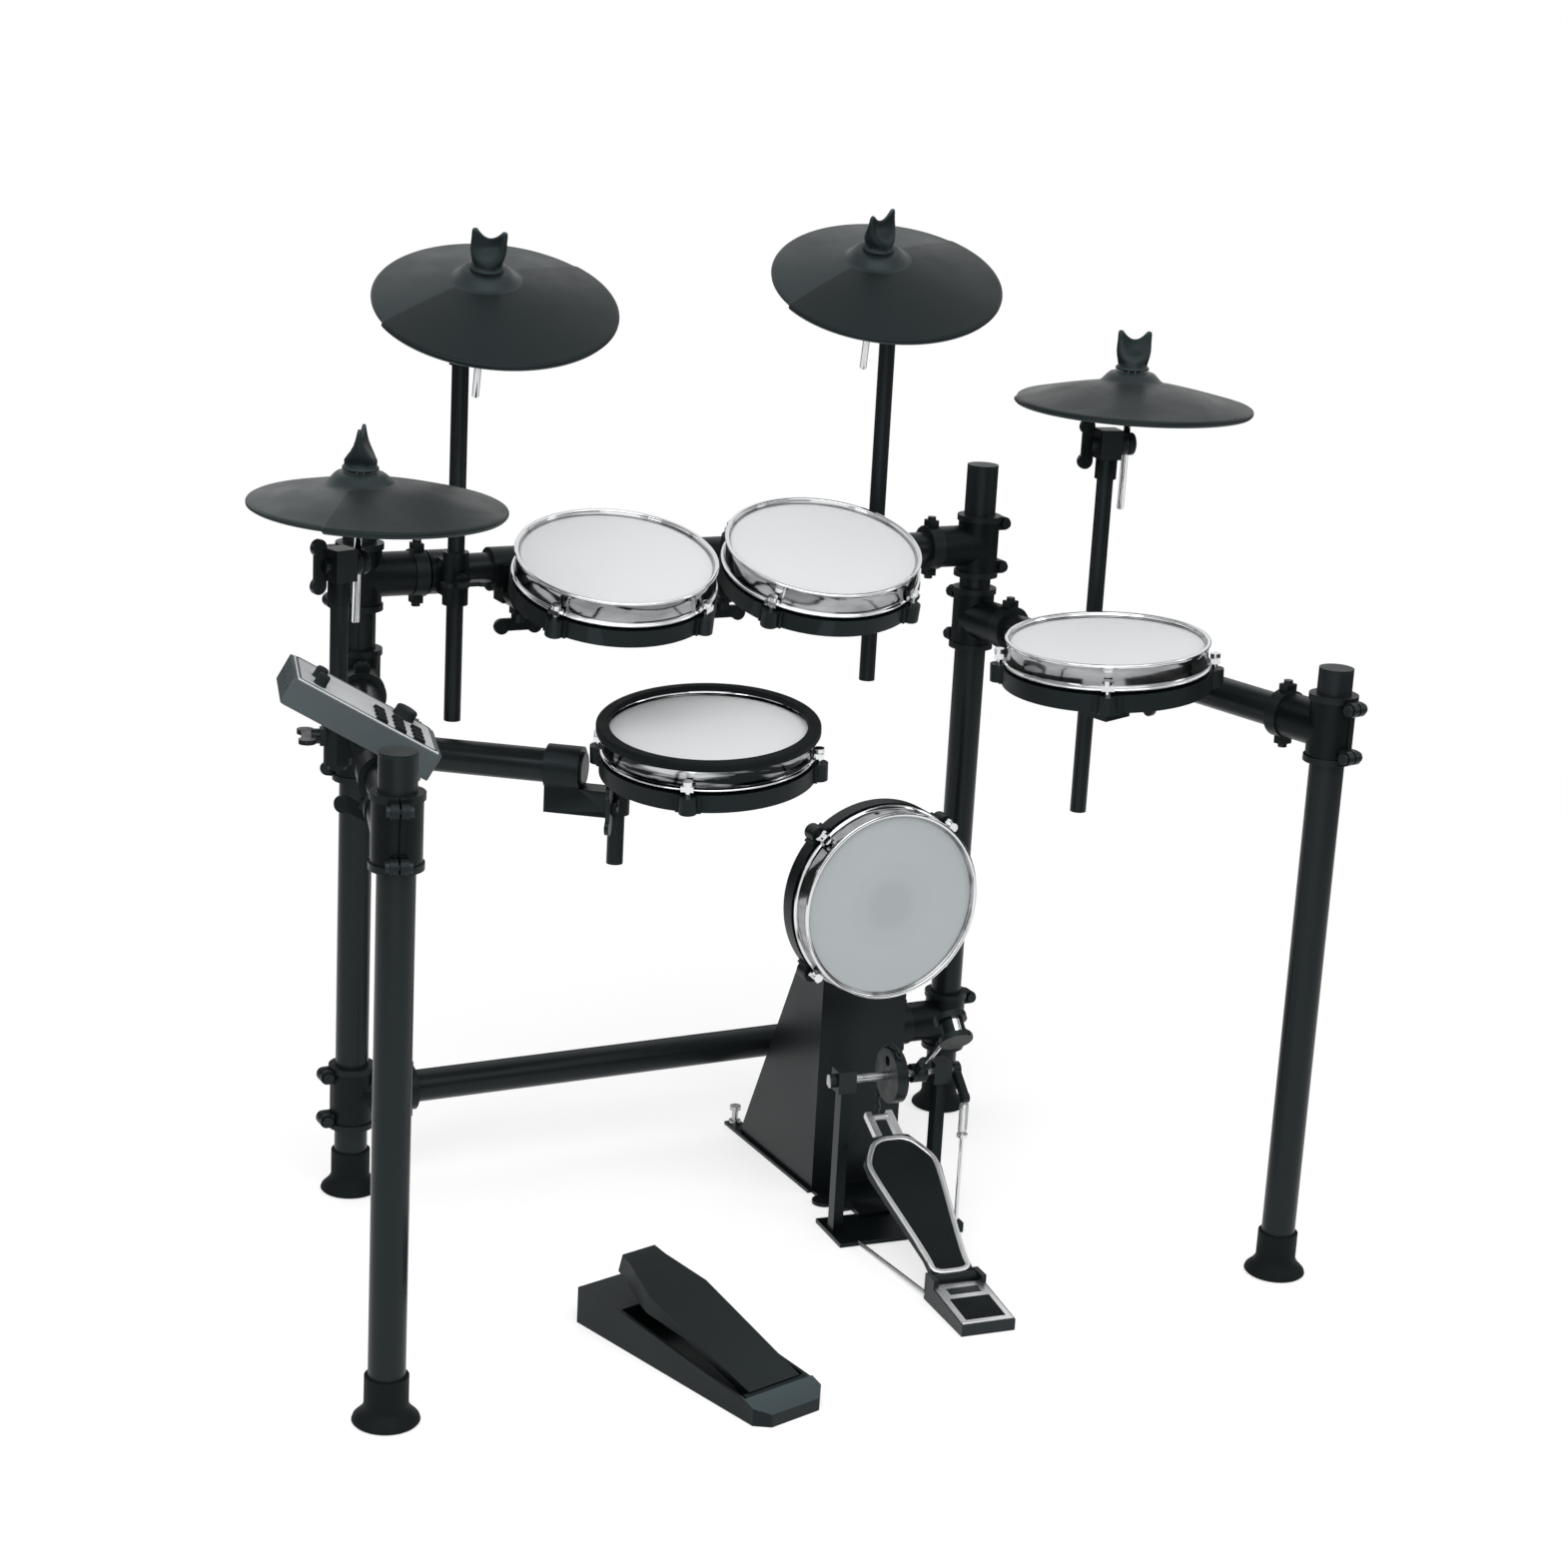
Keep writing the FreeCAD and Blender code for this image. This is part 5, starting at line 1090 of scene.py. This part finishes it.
def fluted_knob(node, flutes, tall):
    joint = joints[node + "_turn"]
    axis, at = Vector(joint["axis"]).normalized(), Vector(joint["pos_m"])
    heights = corners(node) @ np.array(axis)
    low = heights.max() - (tall + KNOB_LIFT) * MM
    place = stand(at + axis * (low - at.dot(axis)), (0, 1, 0), axis)
    middle = np.array(at) - np.array(axis) * at.dot(axis)
    size = np.linalg.norm(corners(node) - np.outer(heights, axis) - middle, axis=1).max() / MM
    profile = knob_profile(size, tall)
    steps = flutes * FLUTE_STEPS
    points = []
    for r, z, share in profile:
        for i in range(steps):
            a = 2 * math.pi * i / steps
            rr = r - FLUTE_DEEP * share * (0.5 + 0.5 * math.cos(flutes * a))
            points.append((rr * MM * math.cos(a), rr * MM * math.sin(a), z * MM))
    faces = ring_faces(len(profile), steps)
    made = piece(node.replace("module_", "fluted_"), points, faces, place, [nylon], node + "_body",
                 "black_plastic")
    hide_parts(node)
    print("%s: %.1f mm across, %.1f tall" % (made.name, 2 * size, tall))


fluted_knob("module_dial", flutes=28, tall=11.0)
fluted_knob("module_knob_left", flutes=18, tall=12.0)
fluted_knob("module_knob_right", flutes=18, tall=12.0)

# %% [markdown]
# ## Room
# A studio photograph of black things on white needs light from all round. The world gives that light
# at a plain level, and is plain white only where the camera, a mirror or glass looks straight at it.

# %% World
FILL_LEVEL = 0.68


def seen_directly(tree):
    path = tree.nodes.new("ShaderNodeLightPath")
    mirrored = larger(tree, path.outputs["Is Camera Ray"], path.outputs["Is Glossy Ray"])
    return larger(tree, mirrored, path.outputs["Is Transmission Ray"])


def mixed(tree, share, first, second):
    node = tree.nodes.new("ShaderNodeMixShader")
    tree.links.new(share, node.inputs["Fac"])
    tree.links.new(first, node.inputs[1])
    tree.links.new(second, node.inputs[2])
    return node.outputs["Shader"]


def white_room():
    room = bpy.data.worlds.new("white_room")
    room.use_nodes = True
    tree = room.node_tree
    fill, white = tree.nodes["Background"], tree.nodes.new("ShaderNodeBackground")
    for light, level in ((fill, FILL_LEVEL), (white, 1.0)):
        light.inputs["Color"].default_value = (1, 1, 1, 1)
        light.inputs["Strength"].default_value = level
    view = mixed(tree, seen_directly(tree), fill.outputs["Background"], white.outputs["Background"])
    tree.links.new(view, tree.nodes["World Output"].inputs["Surface"])
    return room


bpy.context.scene.world = white_room()
print("world: fill light at", FILL_LEVEL)

# %% [markdown]
# ## Floor
# The floor is a pale disc that keeps the shadow.

# %% Floor
FLOOR_R, FLOOR_DROP = 2.6, 0.0005
FADE_FROM, FADE_TO = 1.1, 2.5
FLOOR_TONE, FLOOR_GLOW = 0.55, 0.58


def pale_paper():
    paper = bpy.data.materials.new("pale_floor")
    paper.use_nodes = True
    tree = paper.node_tree
    tree.nodes.remove(tree.nodes["Principled BSDF"])
    matt = tree.nodes.new("ShaderNodeBsdfDiffuse")
    matt.inputs["Color"].default_value = (FLOOR_TONE, FLOOR_TONE, FLOOR_TONE, 1)
    dark, glow = tree.nodes.new("ShaderNodeEmission"), tree.nodes.new("ShaderNodeEmission")
    dark.inputs["Strength"].default_value = 0.0
    glow.inputs["Color"].default_value = (1, 1, 1, 1)
    glow.inputs["Strength"].default_value = FLOOR_GLOW
    lit = mixed(tree, seen_directly(tree), dark.outputs["Emission"], glow.outputs["Emission"])
    both = tree.nodes.new("ShaderNodeAddShader")
    tree.links.new(matt.outputs["BSDF"], both.inputs[0])
    tree.links.new(lit, both.inputs[1])
    where, clear = tree.nodes.new("ShaderNodeTexCoord"), tree.nodes.new("ShaderNodeBsdfTransparent")
    fade = remap(tree, distance(tree, where.outputs["Object"]), 0.0, 1.0, FADE_FROM, FADE_TO)
    surface = mixed(tree, fade, both.outputs["Shader"], clear.outputs["BSDF"])
    tree.links.new(surface, tree.nodes["Material Output"].inputs["Surface"])
    return paper


bpy.ops.mesh.primitive_circle_add(vertices=96, radius=FLOOR_R, fill_type="NGON",
                                  location=(0, 0, -FLOOR_DROP))
floor = bpy.context.object
floor.name = "studio_floor"
floor.data.materials.append(pale_paper())
print("floor: %.1f m across" % (2 * FLOOR_R))

# %% [markdown]
# ## Camera
# The camera stands where the photograph was taken from. Its place, its three directions and its lens
# were worked out from the posts, bars and feet of the rack, with the tube at a common size.

# %% Camera
EYE = (-1.483170, -2.835216, 1.45390)
RIGHT = (0.89087, -0.45120, 0.05256)
TOP = (0.07745, 0.26490, 0.96117)
AHEAD = (0.44760, 0.85220, -0.27094)
SENSOR, FOCAL = 36.0, 69.97
lens = bpy.data.cameras.new("photograph")
lens.sensor_width = SENSOR
lens.lens = FOCAL
camera = bpy.data.objects.new("photograph", lens)
bpy.context.scene.collection.objects.link(camera)
camera.matrix_world = Matrix([(RIGHT[k], TOP[k], -AHEAD[k], EYE[k]) for k in range(3)] + [(0, 0, 0, 1)])
bpy.context.scene.camera = camera
bpy.context.scene.view_settings.view_transform = "Standard"
print("camera %.2f m from the origin on the floor" % Vector(EYE).length)

# %% [markdown]
# ## Dark flags
# In a photo studio black cloth is stood round bright metal, because chrome in an all-white room looks
# white. A ring of such cloth, seen only in reflections, keeps the blacks black and darkens the hoops,
# whose dark band is also painted into the colour of their walls. The gap towards the camera puts one
# highlight down each tube.

# %% Dark flags
FLAG_R, FLAG_LOW, FLAG_HIGH, FLAG_GAP, FLAG_STEPS = 2.3, 0.01, 1.05, 24, 72
FLAG_GLOW = 0.05


def flag_ring():
    front = math.degrees(math.atan2(EYE[1], EYE[0]))
    turn = [math.radians(a) for a in np.linspace(front + FLAG_GAP, front + 360 - FLAG_GAP, FLAG_STEPS + 1)]
    points = [(FLAG_R * math.cos(a), FLAG_R * math.sin(a), z) for z in (FLAG_LOW, FLAG_HIGH) for a in turn]
    row = FLAG_STEPS + 1
    mesh = bpy.data.meshes.new("dark_flag")
    mesh.from_pydata(points, [], [(i, i + 1, row + i + 1, row + i) for i in range(FLAG_STEPS)])
    cloth = bpy.data.materials.new("dark_flag")
    cloth.use_nodes = True
    net = cloth.node_tree
    net.nodes.remove(net.nodes["Principled BSDF"])
    dim = net.nodes.new("ShaderNodeEmission")
    dim.inputs["Strength"].default_value = FLAG_GLOW
    net.links.new(dim.outputs["Emission"], net.nodes["Material Output"].inputs["Surface"])
    mesh.materials.append(cloth)
    return bpy.data.objects.new("dark_flag", mesh)


flag = flag_ring()
bpy.context.scene.collection.objects.link(flag)
for ray in ("camera", "diffuse", "transmission", "volume_scatter", "shadow"):
    setattr(flag, "visible_" + ray, False)
print("flags: %.2f m high, open over %d degrees" % (FLAG_HIGH, 2 * FLAG_GAP))

# %% [markdown]
# ## Lamps
# One large soft box above and in front shapes the heads and the cymbals, a weaker one lifts the front,
# and a narrow strip on each side draws the edges of the tubes. All are large, so the shadows stay soft.

# %% Lamps
def soft_box(name, at, aim, size, power):
    lamp = bpy.data.lights.new(name, "AREA")
    lamp.shape = "RECTANGLE"
    lamp.size, lamp.size_y = size
    lamp.energy = power
    made = bpy.data.objects.new(name, lamp)
    bpy.context.scene.collection.objects.link(made)
    made.location = at
    made.rotation_euler = (Vector(aim) - Vector(at)).to_track_quat("-Z", "Y").to_euler()
    print("%s: %.0f W" % (name, power))


soft_box("overhead_box", (-0.5, -1.7, 3.0), (0, 0, 0.5), (3.4, 2.4), 40)
soft_box("front_box", (-1.5, -3.0, 2.6), (0, 0, 0.6), (2.6, 1.8), 14)
soft_box("left_strip", (-2.6, -1.2, 1.6), (0, 0, 0.6), (0.7, 2.2), 14)
soft_box("right_strip", (2.6, -1.6, 1.5), (0.2, 0, 0.6), (0.6, 2.0), 9)
